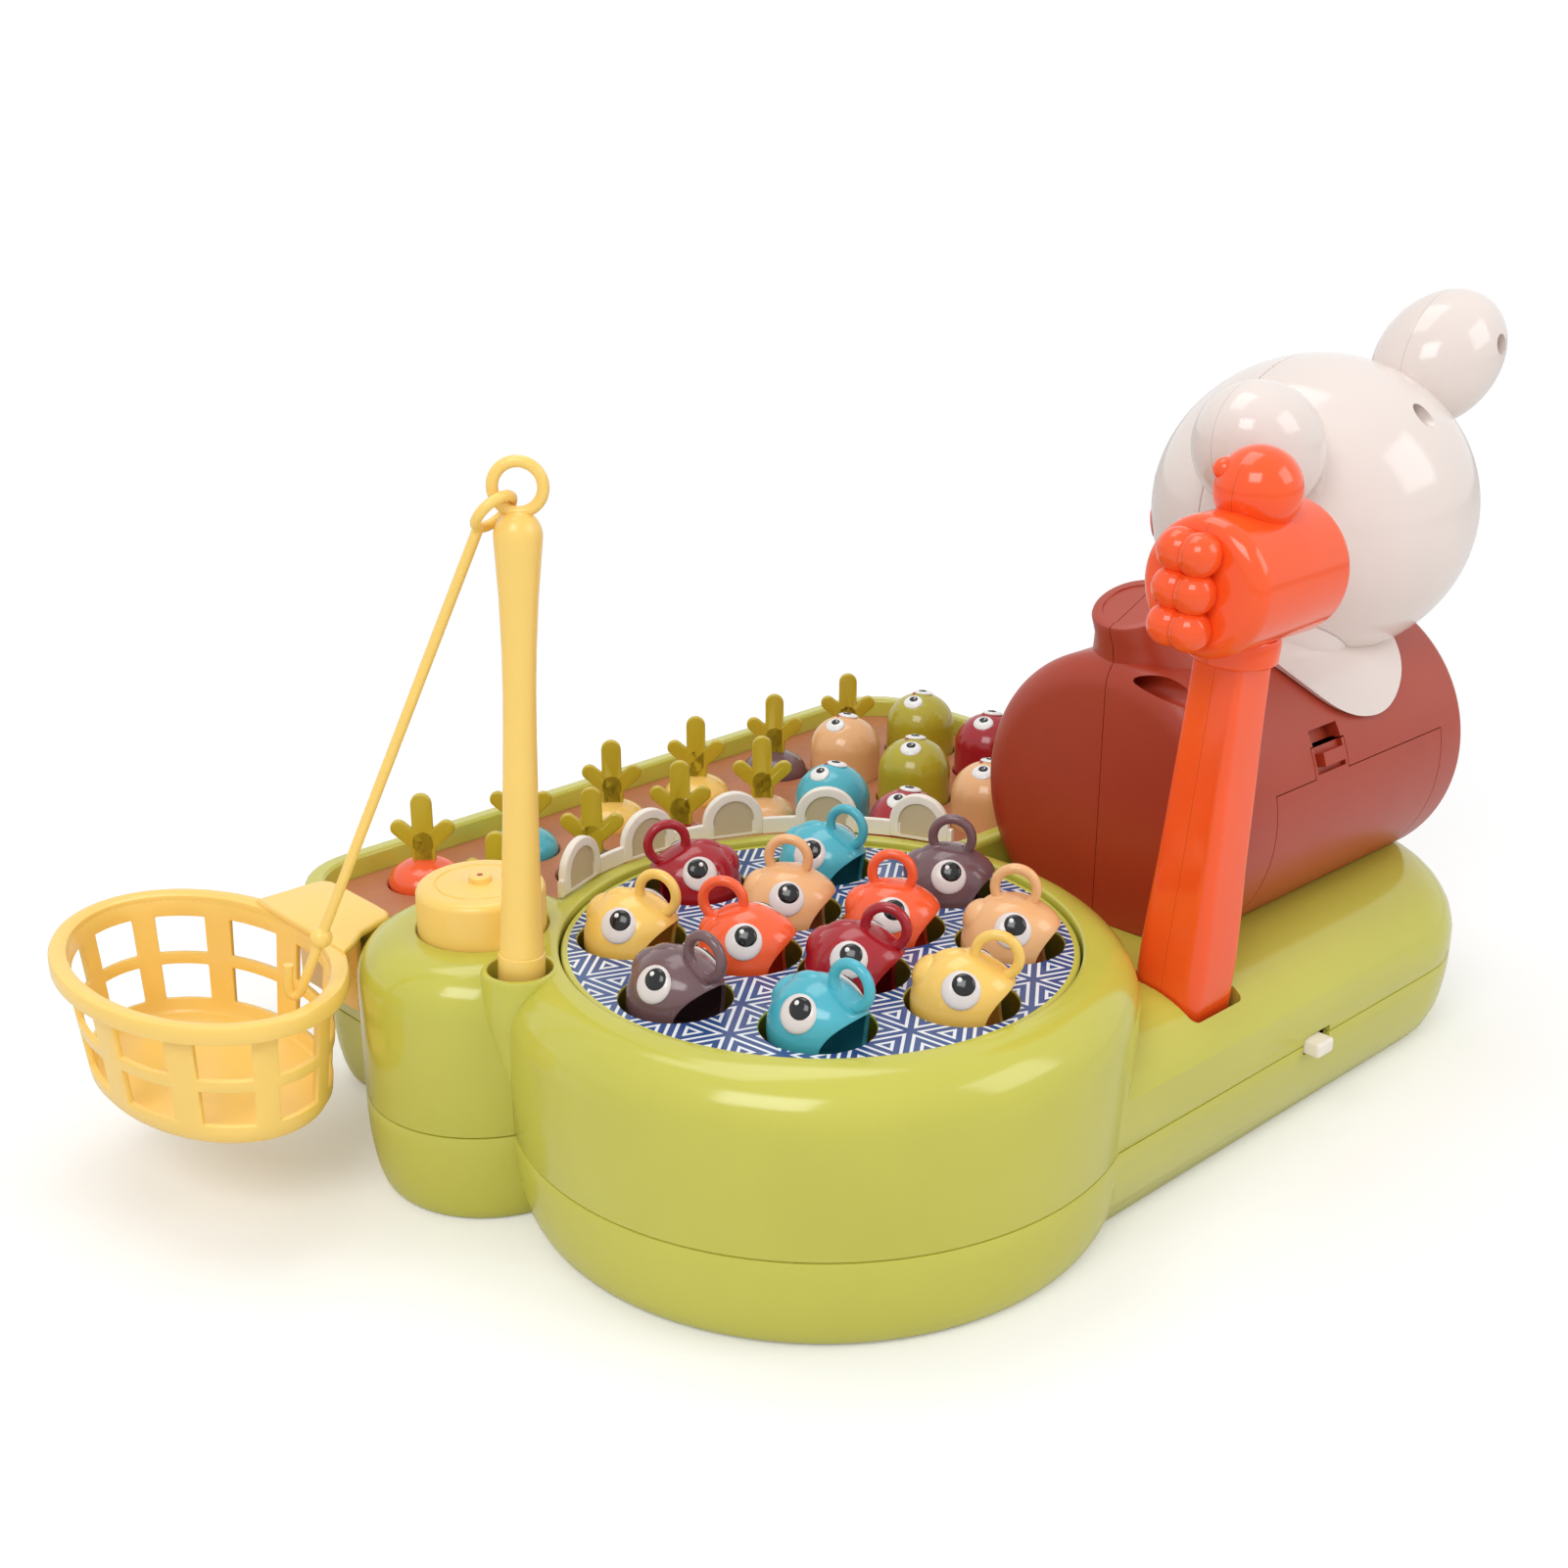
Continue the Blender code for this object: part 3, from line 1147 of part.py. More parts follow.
def basket():
    """Oval basket with two rows of windows, an outward rim and the clip over the tray's rim."""
    rim_half = [half - BASKET_RIM_WIDTH for half in BASKET_RIM_HALF]
    depth = BASKET_RIM_Z - BASKET_FLOOR_Z
    columns = 3 * BASKET_BAYS
    levels = []
    for share in BASKET_LEVEL_SHARES:
        half_x = BASKET_FLOOR_HALF[0] + (rim_half[0] - BASKET_FLOOR_HALF[0]) * share
        half_y = BASKET_FLOOR_HALF[1] + (rim_half[1] - BASKET_FLOOR_HALF[1]) * share
        levels.append((half_x, half_y, BASKET_FLOOR_Z + depth * share))
    levels.append((*BASKET_RIM_HALF, BASKET_RIM_Z))
    bm = bmesh.new()
    rings = []
    for half_x, half_y, height in levels:
        outline = oval(half_x, half_y, columns)
        rings.append([bm.verts.new((x + BASKET_CENTRE[0], y + BASKET_CENTRE[1], height)) for x, y in outline])
    bm.faces.new(rings[0])
    for level, (lower, upper) in enumerate(zip(rings, rings[1:])):
        for i in range(columns):
            window = level in (1, 3) and i % 3 != 0
            if not window:
                j = (i + 1) % columns
                bm.faces.new((lower[i], lower[j], upper[j], upper[i]))
    shell = to_object("basket", bm)
    solid = shell.modifiers.new("Wall", "SOLIDIFY")
    solid.thickness = BASKET_WALL
    solid.offset = 0
    solid.use_even_offset = True
    graph = bpy.context.evaluated_depsgraph_get()
    walled = bpy.data.meshes.new_from_object(shell.evaluated_get(graph))
    shell.modifiers.clear()
    shell.data = walled
    low_z = TRAY_RIM_Z + SEAM
    lip_x = TRAY_LEFT_X + TRAY_RIM_WIDTH + SEAM
    left_x = BASKET_CENTRE[0] + rim_half[0]
    right_x = lip_x + CLIP_HOOK_THICKNESS
    join(
        shell,
        box("clip_plate", (left_x, CLIP_LOW_Y, low_z), (right_x, CLIP_HIGH_Y, low_z + CLIP_THICKNESS)),
        box(
            "clip_lip",
            (lip_x, CLIP_LOW_Y + CLIP_HOOK_MARGIN, low_z - CLIP_HOOK_DEPTH),
            (right_x, CLIP_HIGH_Y - CLIP_HOOK_MARGIN, low_z + CLIP_THICKNESS / 2),
        ),
        box(
            "clip_skirt",
            (CLIP_SKIRT_X, CLIP_LOW_Y + CLIP_SKIRT_MARGIN, CLIP_SKIRT_LOW_Z),
            (CLIP_SKIRT_X + CLIP_SKIRT_THICKNESS, CLIP_HIGH_Y - CLIP_SKIRT_MARGIN, low_z + CLIP_THICKNESS / 2),
        ),
    )
    return finish(shell, plastic("yellow_plastic", YELLOW), (*BASKET_CENTRE, BASKET_RIM_Z))


def hammer():
    """Mallet with a tapered handle, a barrel head, a ball on top and soft bumps at the back."""
    half = (HANDLE_FOOT_HALF, HANDLE_FOOT_HALF, HANDLE_MID_HALF, HANDLE_TOP_HALF, HANDLE_TOP_HALF)
    height = (0, HANDLE_MID_Z / 2, HANDLE_MID_Z, HANDLE_TOP_Z, BARREL_Z)
    foot = HANDLE_FOOT_HALF
    corners = [(x, y, HANDLE_CORNER_R) for x, y in ((-foot, -foot), (foot, -foot), (foot, foot), (-foot, foot))]
    levels = [((foot - reach,) * 4, z) for reach, z in zip(half, height)]
    tool = slab("hammer", corners, levels, 2)
    collar_top = HANDLE_TOP_Z + COLLAR_HEIGHT
    nub_centre = Vector((0, 0, BALL_Z)) + Vector(NUB_DIRECTION_SHARES) * BALL_R
    along = BARREL_FACE_X - BARREL_BACK_X
    barrel_end = arc((BARREL_R - BARREL_ROUND, BARREL_ROUND), (BARREL_ROUND, BARREL_ROUND), -90, 0, 3)
    barrel = [(0, 0), *barrel_end, (BARREL_R, along), (0, along)]
    lying = Matrix.Translation((BARREL_BACK_X, 0, BARREL_Z)) @ Matrix.Rotation(math.radians(90), 4, "Y")
    join(
        tool,
        turned(
            "collar",
            [(0, HANDLE_TOP_Z), (COLLAR_R, HANDLE_TOP_Z), (COLLAR_R, collar_top), (0, collar_top)],
            ROUND_SIDES,
        ),
        turned("barrel", barrel, ROUND_SIDES, lying),
        ball("ball", (0, 0, BALL_Z), (BALL_R,) * 3, SMALL_SIDES, 7),
        ball("nub", nub_centre, (BALL_NUB_R,) * 3, TINY_SIDES, 4),
    )
    for lift in BUMP_LIFTS:
        for side in (-1, 1):
            across = BUMP_SHIFT_Y + side * BUMP_PITCH_Y / 2
            centre = (BARREL_BACK_X - BUMP_R * BUMP_OUT_SHARE, across, BARREL_Z + lift)
            join(tool, ball("bump", centre, (BUMP_R,) * 3, TINY_SIDES, 4))
    tool.data.transform(hammer_frame())
    return finish(tool, plastic("orange_plastic", ORANGE), HAMMER_FOOT)


FENCE_ARCH_STEPS = 5


def fence():
    """Curved rail with five round-topped pickets on the pool's shoulder."""
    inner_r = FENCE_R - FENCE_THICKNESS / 2
    outer_r = FENCE_R + FENCE_THICKNESS / 2
    start = FENCE_FIRST_DEG - FENCE_OVERHANG_DEG
    end = FENCE_FIRST_DEG + FENCE_PITCH_DEG * (FENCE_PICKETS - 1) + FENCE_OVERHANG_DEG
    band = arc((0, 0), (outer_r, outer_r), start, end, 15) + arc((0, 0), (inner_r, inner_r), end, start, 15)
    rail = prism("fence", band, FENCE_FOOT_Z, FENCE_FOOT_Z + FENCE_RAIL_HEIGHT)
    half = FENCE_PICKET_WIDTH / 2
    spring = FENCE_TOP_Z - half
    outline = [(-half, FENCE_FOOT_Z), (half, FENCE_FOOT_Z), *arc((0, spring), (half, half), 0, 180, FENCE_ARCH_STEPS)]
    for picket in range(FENCE_PICKETS):
        angle = math.radians(FENCE_FIRST_DEG + FENCE_PITCH_DEG * picket - 90)
        stand = Matrix.Rotation(angle, 4, "Z") @ Matrix.Rotation(math.radians(90), 4, "X")
        deep = FENCE_THICKNESS / 2
        join(rail, prism("picket", outline, -FENCE_R - deep, -FENCE_R + deep, stand))
    return finish(rail, plastic("cream_plastic", IVORY, 0.4))


def log_point(radius, degrees):
    """Y and Z on the log at an angle above its front side."""
    angle = math.radians(degrees)
    return LOG_Y - radius * math.cos(angle), LOG_Z + radius * math.sin(angle)


def log_sector(name, x_range, radii, degrees, steps=8):
    """Piece of a tube about the log's axis between two angles above its front side."""
    outline = []
    for step in range(steps + 1):
        outline.append(log_point(radii[1], degrees[0] + (degrees[1] - degrees[0]) * step / steps))
    for step in range(steps + 1):
        outline.append(log_point(radii[0], degrees[1] + (degrees[0] - degrees[1]) * step / steps))
    swap = Matrix(((0, 0, 1, 0), (1, 0, 0, 0), (0, 1, 0, 0), (0, 0, 0, 1)))
    return prism(name, outline, x_range[0], x_range[1], swap)


def log_solid(name, wall, sides):
    """The log's barrel, or the room inside it at a wall's depth."""
    left = LOG_LEFT_X + wall
    right = LOG_RIGHT_X - wall
    radius = LOG_R - wall
    near = arc((radius - LOG_LEFT_ROUND, left + LOG_LEFT_ROUND), (LOG_LEFT_ROUND, LOG_LEFT_ROUND), -90, 0, 2)
    far = arc((radius - LOG_RIGHT_ROUND, right - LOG_RIGHT_ROUND), (LOG_RIGHT_ROUND, LOG_RIGHT_ROUND), 0, 90, 2)
    lying = Matrix.Translation((0, LOG_Y, LOG_Z)) @ Matrix.Rotation(math.radians(90), 4, "Y")
    return turned(name, [(0, left), *near, *far, (0, right)], sides, lying)


def half_space(name, side):
    """Block on one side of the log's seam, cut off at the log's foot."""
    reach = 2 * LOG_R
    low = (LOG_LEFT_X - LOG_R, LOG_Y + SEAM / 2, ARM_TOP_Z + SEAM)
    high = (LOG_RIGHT_X + LOG_R, LOG_Y + reach, LOG_Z + reach)
    if side < 0:
        low, high = (low[0], LOG_Y - reach, low[2]), (high[0], LOG_Y - SEAM / 2, high[2])
    return box(name, low, high)


def latch_ranges(gap):
    """X range and angles of the door's latch tab, grown by a gap."""
    return (LATCH_LEFT_X - gap, LATCH_RIGHT_X + gap), (DOOR_LOW_DEG, LATCH_HIGH_DEG + math.degrees(gap / LOG_R))


def log_and_door():
    """Both half shells of the log and the battery door in the front one."""
    lean = Matrix.Rotation(math.radians(-STUMP_LEAN_DEG), 4, "Y")
    stump_place = Matrix.Translation(STUMP_TOP_CENTRE) @ lean
    stump_profile = [
        (0, -STUMP_LENGTH), (STUMP_FLARE_R, -STUMP_LENGTH), (STUMP_R, -STUMP_NECK_LENGTH), (STUMP_R, 0), (0, 0),
    ]
    barrel = join(log_solid("log", 0, LOG_SIDES), turned("stump", stump_profile, ROUND_SIDES, stump_place))
    cut(barrel, log_solid("log_room", WALL, HIDDEN_SIDES))
    door_x = (DOOR_LEFT_X, DOOR_RIGHT_X)
    door_angles = (DOOR_LOW_DEG, DOOR_HIGH_DEG)
    gap_deg = math.degrees(SEAM / LOG_R)
    skin = (LOG_R - 2 * WALL, LOG_R + OVERRUN)
    opening = log_sector(
        "opening", (door_x[0] - SEAM, door_x[1] + SEAM), skin, (DOOR_LOW_DEG - gap_deg, DOOR_HIGH_DEG + gap_deg),
    )
    latch_x, latch_angles = latch_ranges(SEAM)
    join(opening, log_sector("latch_opening", latch_x, skin, latch_angles))
    door = log_sector("battery_door", door_x, (LOG_R - WALL, LOG_R), door_angles)
    latch_x, latch_angles = latch_ranges(0)
    join(door, log_sector("latch", latch_x, (LOG_R - WALL, LOG_R), latch_angles, 9))
    front = copy_of(barrel, "log_front_shell")
    keep(front, half_space("front_half", -1))
    cut(front, opening)
    barrel.name = "log_rear_shell"
    keep(barrel, half_space("rear_half", 1))
    bark = plastic("brown_plastic", BROWN, 0.38)
    finish(front, bark)
    finish(barrel, bark)
    finish(door, bark, (DOOR_LEFT_X, *log_point(LOG_R, DOOR_LOW_DEG)))


def battery_holder():
    """Cradle for three cells with an end wall at each side and a foot down to the arm."""
    left = CELL_LEFT_X - HOLDER_END
    right = CELL_LEFT_X + CELL_LENGTH + CELL_NUB_LENGTH + HOLDER_END
    inner = CELL_ORBIT_R - HOLDER_DEPTH
    outer = CELL_ORBIT_R + CELL_R * HOLDER_RISE_SHARE
    spread = math.degrees(CELL_R * HOLDER_SPREAD_SHARE / CELL_ORBIT_R)
    angles = (CELL_ANGLES_DEG[0] - spread, CELL_ANGLES_DEG[-1] + spread)
    cradle = log_sector("battery_holder", (left, right), (inner, outer), angles)
    foot_y, foot_z = log_point(inner, angles[0])
    half = HOLDER_FOOT_THICKNESS / 2
    join(cradle, box("holder_foot", (left, foot_y - half, ARM_TOP_Z + SEAM), (right, foot_y + half, foot_z + half)))
    for degrees in CELL_ANGLES_DEG:
        y, z = log_point(CELL_ORBIT_R, degrees)
        length = CELL_LENGTH + CELL_NUB_LENGTH + SEAM
        seat = [(0, -SEAM), (CELL_R + SEAM, -SEAM), (CELL_R + SEAM, length), (0, length)]
        lying = Matrix.Translation((CELL_LEFT_X, y, z)) @ Matrix.Rotation(math.radians(90), 4, "Y")
        cut(cradle, turned("seat", seat, SMALL_SIDES, lying))
    return finish(cradle, plastic("holder", GREY, 0.5))


def battery_cell(name, degrees):
    """One round cell with its contact nub, lying along the log."""
    profile = [
        (0, 0), (CELL_R, 0), (CELL_R, CELL_LENGTH), (CELL_NUB_R, CELL_LENGTH),
        (CELL_NUB_R, CELL_LENGTH + CELL_NUB_LENGTH), (0, CELL_LENGTH + CELL_NUB_LENGTH),
    ]
    y, z = log_point(CELL_ORBIT_R, degrees)
    lying = Matrix.Translation((CELL_LEFT_X, y, z)) @ Matrix.Rotation(math.radians(90), 4, "Y")
    return finish(turned(name, profile, SMALL_SIDES, lying), plastic("steel", STEEL, 0.35, 1.0))


def head_ball(name, margin, sides=HEAD_SIDES, rings=12):
    """The head's ellipsoid, grown or shrunk by a margin."""
    return ball(name, HEAD_CENTRE, [radius + margin for radius in HEAD_RADII], sides, rings)


BIB_SHARES = (
    (-1.0, 1.0), (-1.0, 0.63), (-0.87, 0.44), (-0.63, 0.20), (-0.37, 0.06), (-0.11, 0), (0.13, 0), (0.37, 0.06),
    (0.63, 0.21), (0.84, 0.40), (1.0, 0.63), (1.0, 1.0),
)


def rabbit():
    """Head in two half shells, two ears and the body that sits astride the log."""
    white = plastic("white_plastic", CREAM, 0.3)
    reach = 2 * HEAD_RADII[0]
    x, y, z = HEAD_CENTRE
    skull = cut(head_ball("rabbit_head_back", 0), head_ball("room", -WALL, 14, 9))
    lying = Matrix.Translation((0, LOG_Y, LOG_Z)) @ Matrix.Rotation(math.radians(90), 4, "Y")
    relief_r = LOG_R + SEAM
    relief = [(0, LOG_LEFT_X), (relief_r, LOG_LEFT_X), (relief_r, LOG_RIGHT_X + LOG_R), (0, LOG_RIGHT_X + LOG_R)]
    cut(skull, turned("log_relief", relief, LOG_SIDES, lying))
    face = copy_of(skull, "rabbit_head_front")
    keep(skull, box("back_half", (x - reach, y - reach, z - reach), (x + reach, HEAD_SPLIT_Y - SEAM / 2, z + reach)))
    keep(face, box("front_half", (x - reach, HEAD_SPLIT_Y + SEAM / 2, z - reach), (x + reach, y + reach, z + reach)))
    upright = Matrix.Rotation(math.radians(90), 4, "X")
    screw = [(0, 0), (SCREW_WELL_R, 0), (SCREW_WELL_R, reach), (0, reach)]
    depth = y - HEAD_RADII[1] / 2
    cut(skull, turned("head_screw", screw, TINY_SIDES, at(HEAD_SCREW_X, depth, HEAD_SCREW_Z) @ upright))
    finish(skull, white)
    finish(face, white)
    for name, offset in (("rabbit_ear_left", EAR_LEFT_OFFSET), ("rabbit_ear_right", EAR_RIGHT_OFFSET)):
        outward = Vector(offset).normalized()
        centre = Vector(HEAD_CENTRE) + Vector(offset)
        rise = Vector((0, 0, 1)).rotation_difference(outward).to_matrix().to_4x4()
        ear = ball(name, centre, (EAR_WIDE, EAR_WIDE, EAR_LONG), 12, 9, rise)
        cut(ear, head_ball("head_relief", SEAM))
        tip = centre + outward * EAR_LONG / 2
        well = at(tip.x, tip.y - EAR_WIDE + SCREW_WELL_DEPTH, tip.z) @ upright
        cut(ear, turned("ear_screw", screw, TINY_SIDES, well))
        finish(ear, white)
    body = ball("rabbit_body", RABBIT_BODY_CENTRE, RABBIT_BODY_RADII, 20, 12)
    skin_r = LOG_R + BIB_THICKNESS
    skin = [(0, LOG_LEFT_X), (skin_r, LOG_LEFT_X), (skin_r, LOG_RIGHT_X), (0, LOG_RIGHT_X)]
    outline = [
        (RABBIT_BODY_CENTRE[0] + BIB_HALF_WIDTH * across, BIB_LOW_Z + BIB_HEIGHT * up) for across, up in BIB_SHARES
    ]
    bib = prism("bib", outline, -BIB_FAR_Y, -BIB_NEAR_Y, upright)
    keep(bib, turned("bib_skin", skin, LOG_SIDES, lying))
    join(body, bib)
    cut(body, turned("log_relief", relief, LOG_SIDES, lying), head_ball("head_relief", SEAM))
    finish(body, white)


def power_switch():
    """Slide switch: a knob through the front wall on a wider plate behind it."""
    inner = ARM_FRONT_Y + WALL + SWITCH_SETBACK
    half_x = SWITCH_HALF_WIDTH
    knob = box(
        "power_switch",
        (SWITCH_X - half_x, ARM_FRONT_Y - SWITCH_PROUD, SWITCH_Z - SWITCH_HALF_HEIGHT),
        (SWITCH_X + half_x, inner + SWITCH_PLATE_THICKNESS / 2, SWITCH_Z + SWITCH_HALF_HEIGHT),
    )
    reach_x = half_x + SWITCH_PLATE_MARGIN
    reach_z = SWITCH_HALF_HEIGHT + SWITCH_PLATE_MARGIN
    plate = box(
        "plate", (SWITCH_X - reach_x, inner, SWITCH_Z - reach_z),
        (SWITCH_X + reach_x, inner + SWITCH_PLATE_THICKNESS, SWITCH_Z + reach_z),
    )
    join(knob, plate)
    return finish(knob, plastic("cream_plastic", IVORY, 0.4), (SWITCH_X, ARM_FRONT_Y, SWITCH_Z))


def main():
    """Builds every piece of the game."""
    clear_scene()
    base_lower_shell()
    base_upper_shell()
    soil_bed()
    fence()
    disc = pool_disc()
    gear("turntable_gear", GEAR_TEETH, 0, SPINDLE_R + SEAM, 0)
    gear("drive_pinion", PINION_TEETH, 180 + 180 / PINION_TEETH, MOTOR_SHAFT_R + SEAM, pinion_x())
    drive_motor()
    for place in FISH_PLACES:
        fish(*place, disc)
    for name, colour, x, y in mole_places():
        mole(name, colour, x, y)
    for name, colour, x, y, sunk in carrot_places():
        carrot(name, colour, x, y, sunk)
    mole_switch_board()
    circuit_board()
    speaker()
    drum_button()
    fishing_line(rod())
    basket()
    hammer()
    log_and_door()
    battery_holder()
    for number, degrees in enumerate(CELL_ANGLES_DEG, 1):
        battery_cell(f"battery_{number}", degrees)
    rabbit()
    power_switch()


main()
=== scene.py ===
"""Looks of the table-top pounding game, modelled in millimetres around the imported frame."""
import math

import bmesh
import bpy
from mathutils import Matrix, Vector

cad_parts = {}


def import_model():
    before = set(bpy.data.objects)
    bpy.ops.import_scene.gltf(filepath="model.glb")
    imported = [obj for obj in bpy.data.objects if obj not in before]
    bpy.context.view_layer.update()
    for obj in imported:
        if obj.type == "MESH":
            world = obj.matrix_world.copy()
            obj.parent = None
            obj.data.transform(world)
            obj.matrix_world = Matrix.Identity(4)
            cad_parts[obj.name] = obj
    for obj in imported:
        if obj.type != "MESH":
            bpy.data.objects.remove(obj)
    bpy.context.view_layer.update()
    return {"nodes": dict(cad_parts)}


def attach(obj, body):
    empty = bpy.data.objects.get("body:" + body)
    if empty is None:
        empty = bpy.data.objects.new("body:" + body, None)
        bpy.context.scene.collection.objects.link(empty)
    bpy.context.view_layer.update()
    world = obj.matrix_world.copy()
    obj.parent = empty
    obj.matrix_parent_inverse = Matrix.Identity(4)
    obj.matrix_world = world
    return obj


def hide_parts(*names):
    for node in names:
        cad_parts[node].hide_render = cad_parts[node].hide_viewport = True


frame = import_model()
MM = 0.001


# Shapes

def linked(obj):
    bpy.context.scene.collection.objects.link(obj)
    return obj


def shape(name, bm, place=None):
    """Puts a shape modelled in millimetres into the scene."""
    bmesh.ops.remove_doubles(bm, verts=bm.verts, dist=0.002)
    bmesh.ops.recalc_face_normals(bm, faces=bm.faces)
    if place is not None:
        bmesh.ops.transform(bm, matrix=place, verts=bm.verts)
    bmesh.ops.scale(bm, vec=(MM, MM, MM), verts=bm.verts)
    mesh = bpy.data.meshes.new(name)
    bm.to_mesh(mesh)
    bm.free()
    return linked(bpy.data.objects.new(name, mesh))


def placed(obj, place):
    """The object with its mesh moved by a placement in millimetres."""
    scale = Matrix.Diagonal((MM, MM, MM, 1))
    obj.data.transform(scale @ place @ scale.inverted())
    return obj


def applied(obj):
    """The object with its modifiers made part of its mesh."""
    graph = bpy.context.evaluated_depsgraph_get()
    mesh = bpy.data.meshes.new_from_object(obj.evaluated_get(graph))
    obj.modifiers.clear()
    obj.data = mesh
    return obj


def combined(body, tool, operation):
    """Body after a solid operation with a tool, which is used up."""
    step = body.modifiers.new("solid", "BOOLEAN")
    step.operation = operation
    step.solver = "EXACT"
    step.object = tool
    applied(body)
    bpy.data.objects.remove(tool)
    return body


def walled(surface, thickness, offset, rounding, segments, corner_deg):
    """The surface with a wall's thickness and softened edges."""
    wall = surface.modifiers.new("wall", "SOLIDIFY")
    wall.thickness = thickness * MM
    wall.offset = offset
    wall.use_even_offset = True
    edge = surface.modifiers.new("edge", "BEVEL")
    edge.width = rounding * MM
    edge.segments = segments
    edge.limit_method = "ANGLE"
    edge.angle_limit = math.radians(corner_deg)
    return applied(surface)


def join(body, *tools):
    for tool in tools:
        combined(body, tool, "UNION")
    return body


def cut(body, *tools):
    for tool in tools:
        combined(body, tool, "DIFFERENCE")
    return body


def arc(centre, radii, start, end, steps):
    """Points of an elliptic arc between two angles in degrees."""
    points = []
    for i in range(steps + 1):
        angle = math.radians(start + (end - start) * i / steps)
        points.append((centre[0] + radii[0] * math.cos(angle), centre[1] + radii[1] * math.sin(angle)))
    return points


def loop_of(bm, points):
    """Edges of a closed loop through points."""
    verts = [bm.verts.new(point) for point in points]
    return [bm.edges.new(pair) for pair in zip(verts, verts[1:] + verts[:1])]


def bevelled(bm, edges, width, segments, clamp=True):
    bmesh.ops.bevel(
        bm, geom=edges, offset=width, offset_type="OFFSET", segments=segments, profile=0.5, affect="EDGES",
        material=-1, clamp_overlap=clamp,
    )


def lathe(name, profile, sides=72, place=None, closed=False):
    """Round solid from a profile of radius and height."""
    bm = bmesh.new()
    verts = [bm.verts.new((r, 0, z)) for r, z in profile]
    edges = [bm.edges.new(pair) for pair in zip(verts, verts[1:])]
    if closed:
        edges.append(bm.edges.new((verts[-1], verts[0])))
    bmesh.ops.spin(
        bm, geom=verts + edges, cent=(0, 0, 0), axis=(0, 0, 1), angle=math.tau, steps=sides, use_merge=True,
    )
    return shape(name, bm, place)


def torus(name, radius, tube, place, sides=40):
    """Ring round the Z axis of its place."""
    return lathe(name, arc((radius, 0), (tube, tube), 0, 360, 16)[:-1], sides, place, True)


def cylinder(name, radius, low, high, sides, place=None):
    """Plain round bar between two heights."""
    return lathe(name, [(0, low), (radius, low), (radius, high), (0, high)], sides, place)


def ball(name, centre, radii, turn=None, sides=32, rings=20):
    bm = bmesh.new()
    bmesh.ops.create_uvsphere(bm, u_segments=sides, v_segments=rings, radius=1)
    place = Matrix.Translation(centre) @ (turn or Matrix()) @ Matrix.Diagonal((*radii, 1))
    return shape(name, bm, place)


def block(name, low, high, rounding=0.0, segments=3):
    """Block between two corners with rounded edges."""
    size = [b - a for a, b in zip(low, high)]
    middle = [(a + b) / 2 for a, b in zip(low, high)]
    bm = bmesh.new()
    bmesh.ops.create_cube(bm, size=1, matrix=Matrix.Translation(middle) @ Matrix.Diagonal((*size, 1)))
    if rounding:
        bevelled(bm, bm.edges[:], rounding, segments)
    return shape(name, bm)


def loft(name, rings, place=None):
    """Solid over a stack of outlines with the same number of points."""
    bm = bmesh.new()
    loops = [loop_of(bm, ring) for ring in rings]
    for lower, upper in zip(loops, loops[1:]):
        bmesh.ops.bridge_loops(bm, edges=lower + upper)
    bmesh.ops.holes_fill(bm, edges=bm.edges[:], sides=0)
    return shape(name, bm, place)


def plate(name, outline, low, high, rounding=0.0, place=None):
    """Flat piece of an outline between two heights, its rims rounded."""
    bm = bmesh.new()
    face = bm.faces.new([bm.verts.new((x, y, low)) for x, y in outline])
    grown = bmesh.ops.extrude_face_region(bm, geom=[face])
    moved = [item for item in grown["geom"] if isinstance(item, bmesh.types.BMVert)]
    bmesh.ops.translate(bm, vec=(0, 0, high - low), verts=moved)
    if rounding:
        rims = [e for e in bm.edges if abs(e.verts[0].co.z - e.verts[1].co.z) < 1e-6]
        bevelled(bm, rims, rounding, 3)
    return shape(name, bm, place)


def rounded(corners, insets, steps=10):
    """Outline of a convex polygon of (x, y, radius), side i moved inwards by insets[i]."""
    sides = []
    for i, corner in enumerate(corners):
        start = Vector(corner[:2])
        along = (Vector(corners[(i + 1) % len(corners)][:2]) - start).normalized()
        inward = Vector((-along.y, along.x))
        sides.append((start + inward * insets[i], along, inward))
    points = []
    for i, corner in enumerate(corners):
        (p, d, n), (q, e, m) = sides[i - 1], sides[i]
        tip = p + d * ((q - p).cross(e) / d.cross(e))
        radius = max(0.5, corner[2] - (insets[i - 1] + insets[i]) / 2)
        centre = tip + (n + m) * (radius / (1 + n.dot(m)))
        start = math.atan2(-n.y, -n.x)
        turn = math.atan2(d.cross(e), d.dot(e))
        for step in range(steps + 1):
            angle = start + turn * step / steps
            points.append((centre.x + radius * math.cos(angle), centre.y + radius * math.sin(angle)))
    return points


def slab(name, corners, levels, steps=10, place=None):
    """Solid over (inset, height) levels of a rounded polygon; an inset may differ for each side."""
    rings = []
    for inset, z in levels:
        insets = inset if isinstance(inset, list) else [inset] * len(corners)
        rings.append([(x, y, z) for x, y in rounded(corners, insets, steps)])
    return loft(name, rings, place)


def facing(direction, centre):
    """Placement that turns local Z to a direction."""
    turn = Vector(direction).to_track_quat("Z", "Y").to_matrix().to_4x4()
    return Matrix.Translation(centre) @ turn


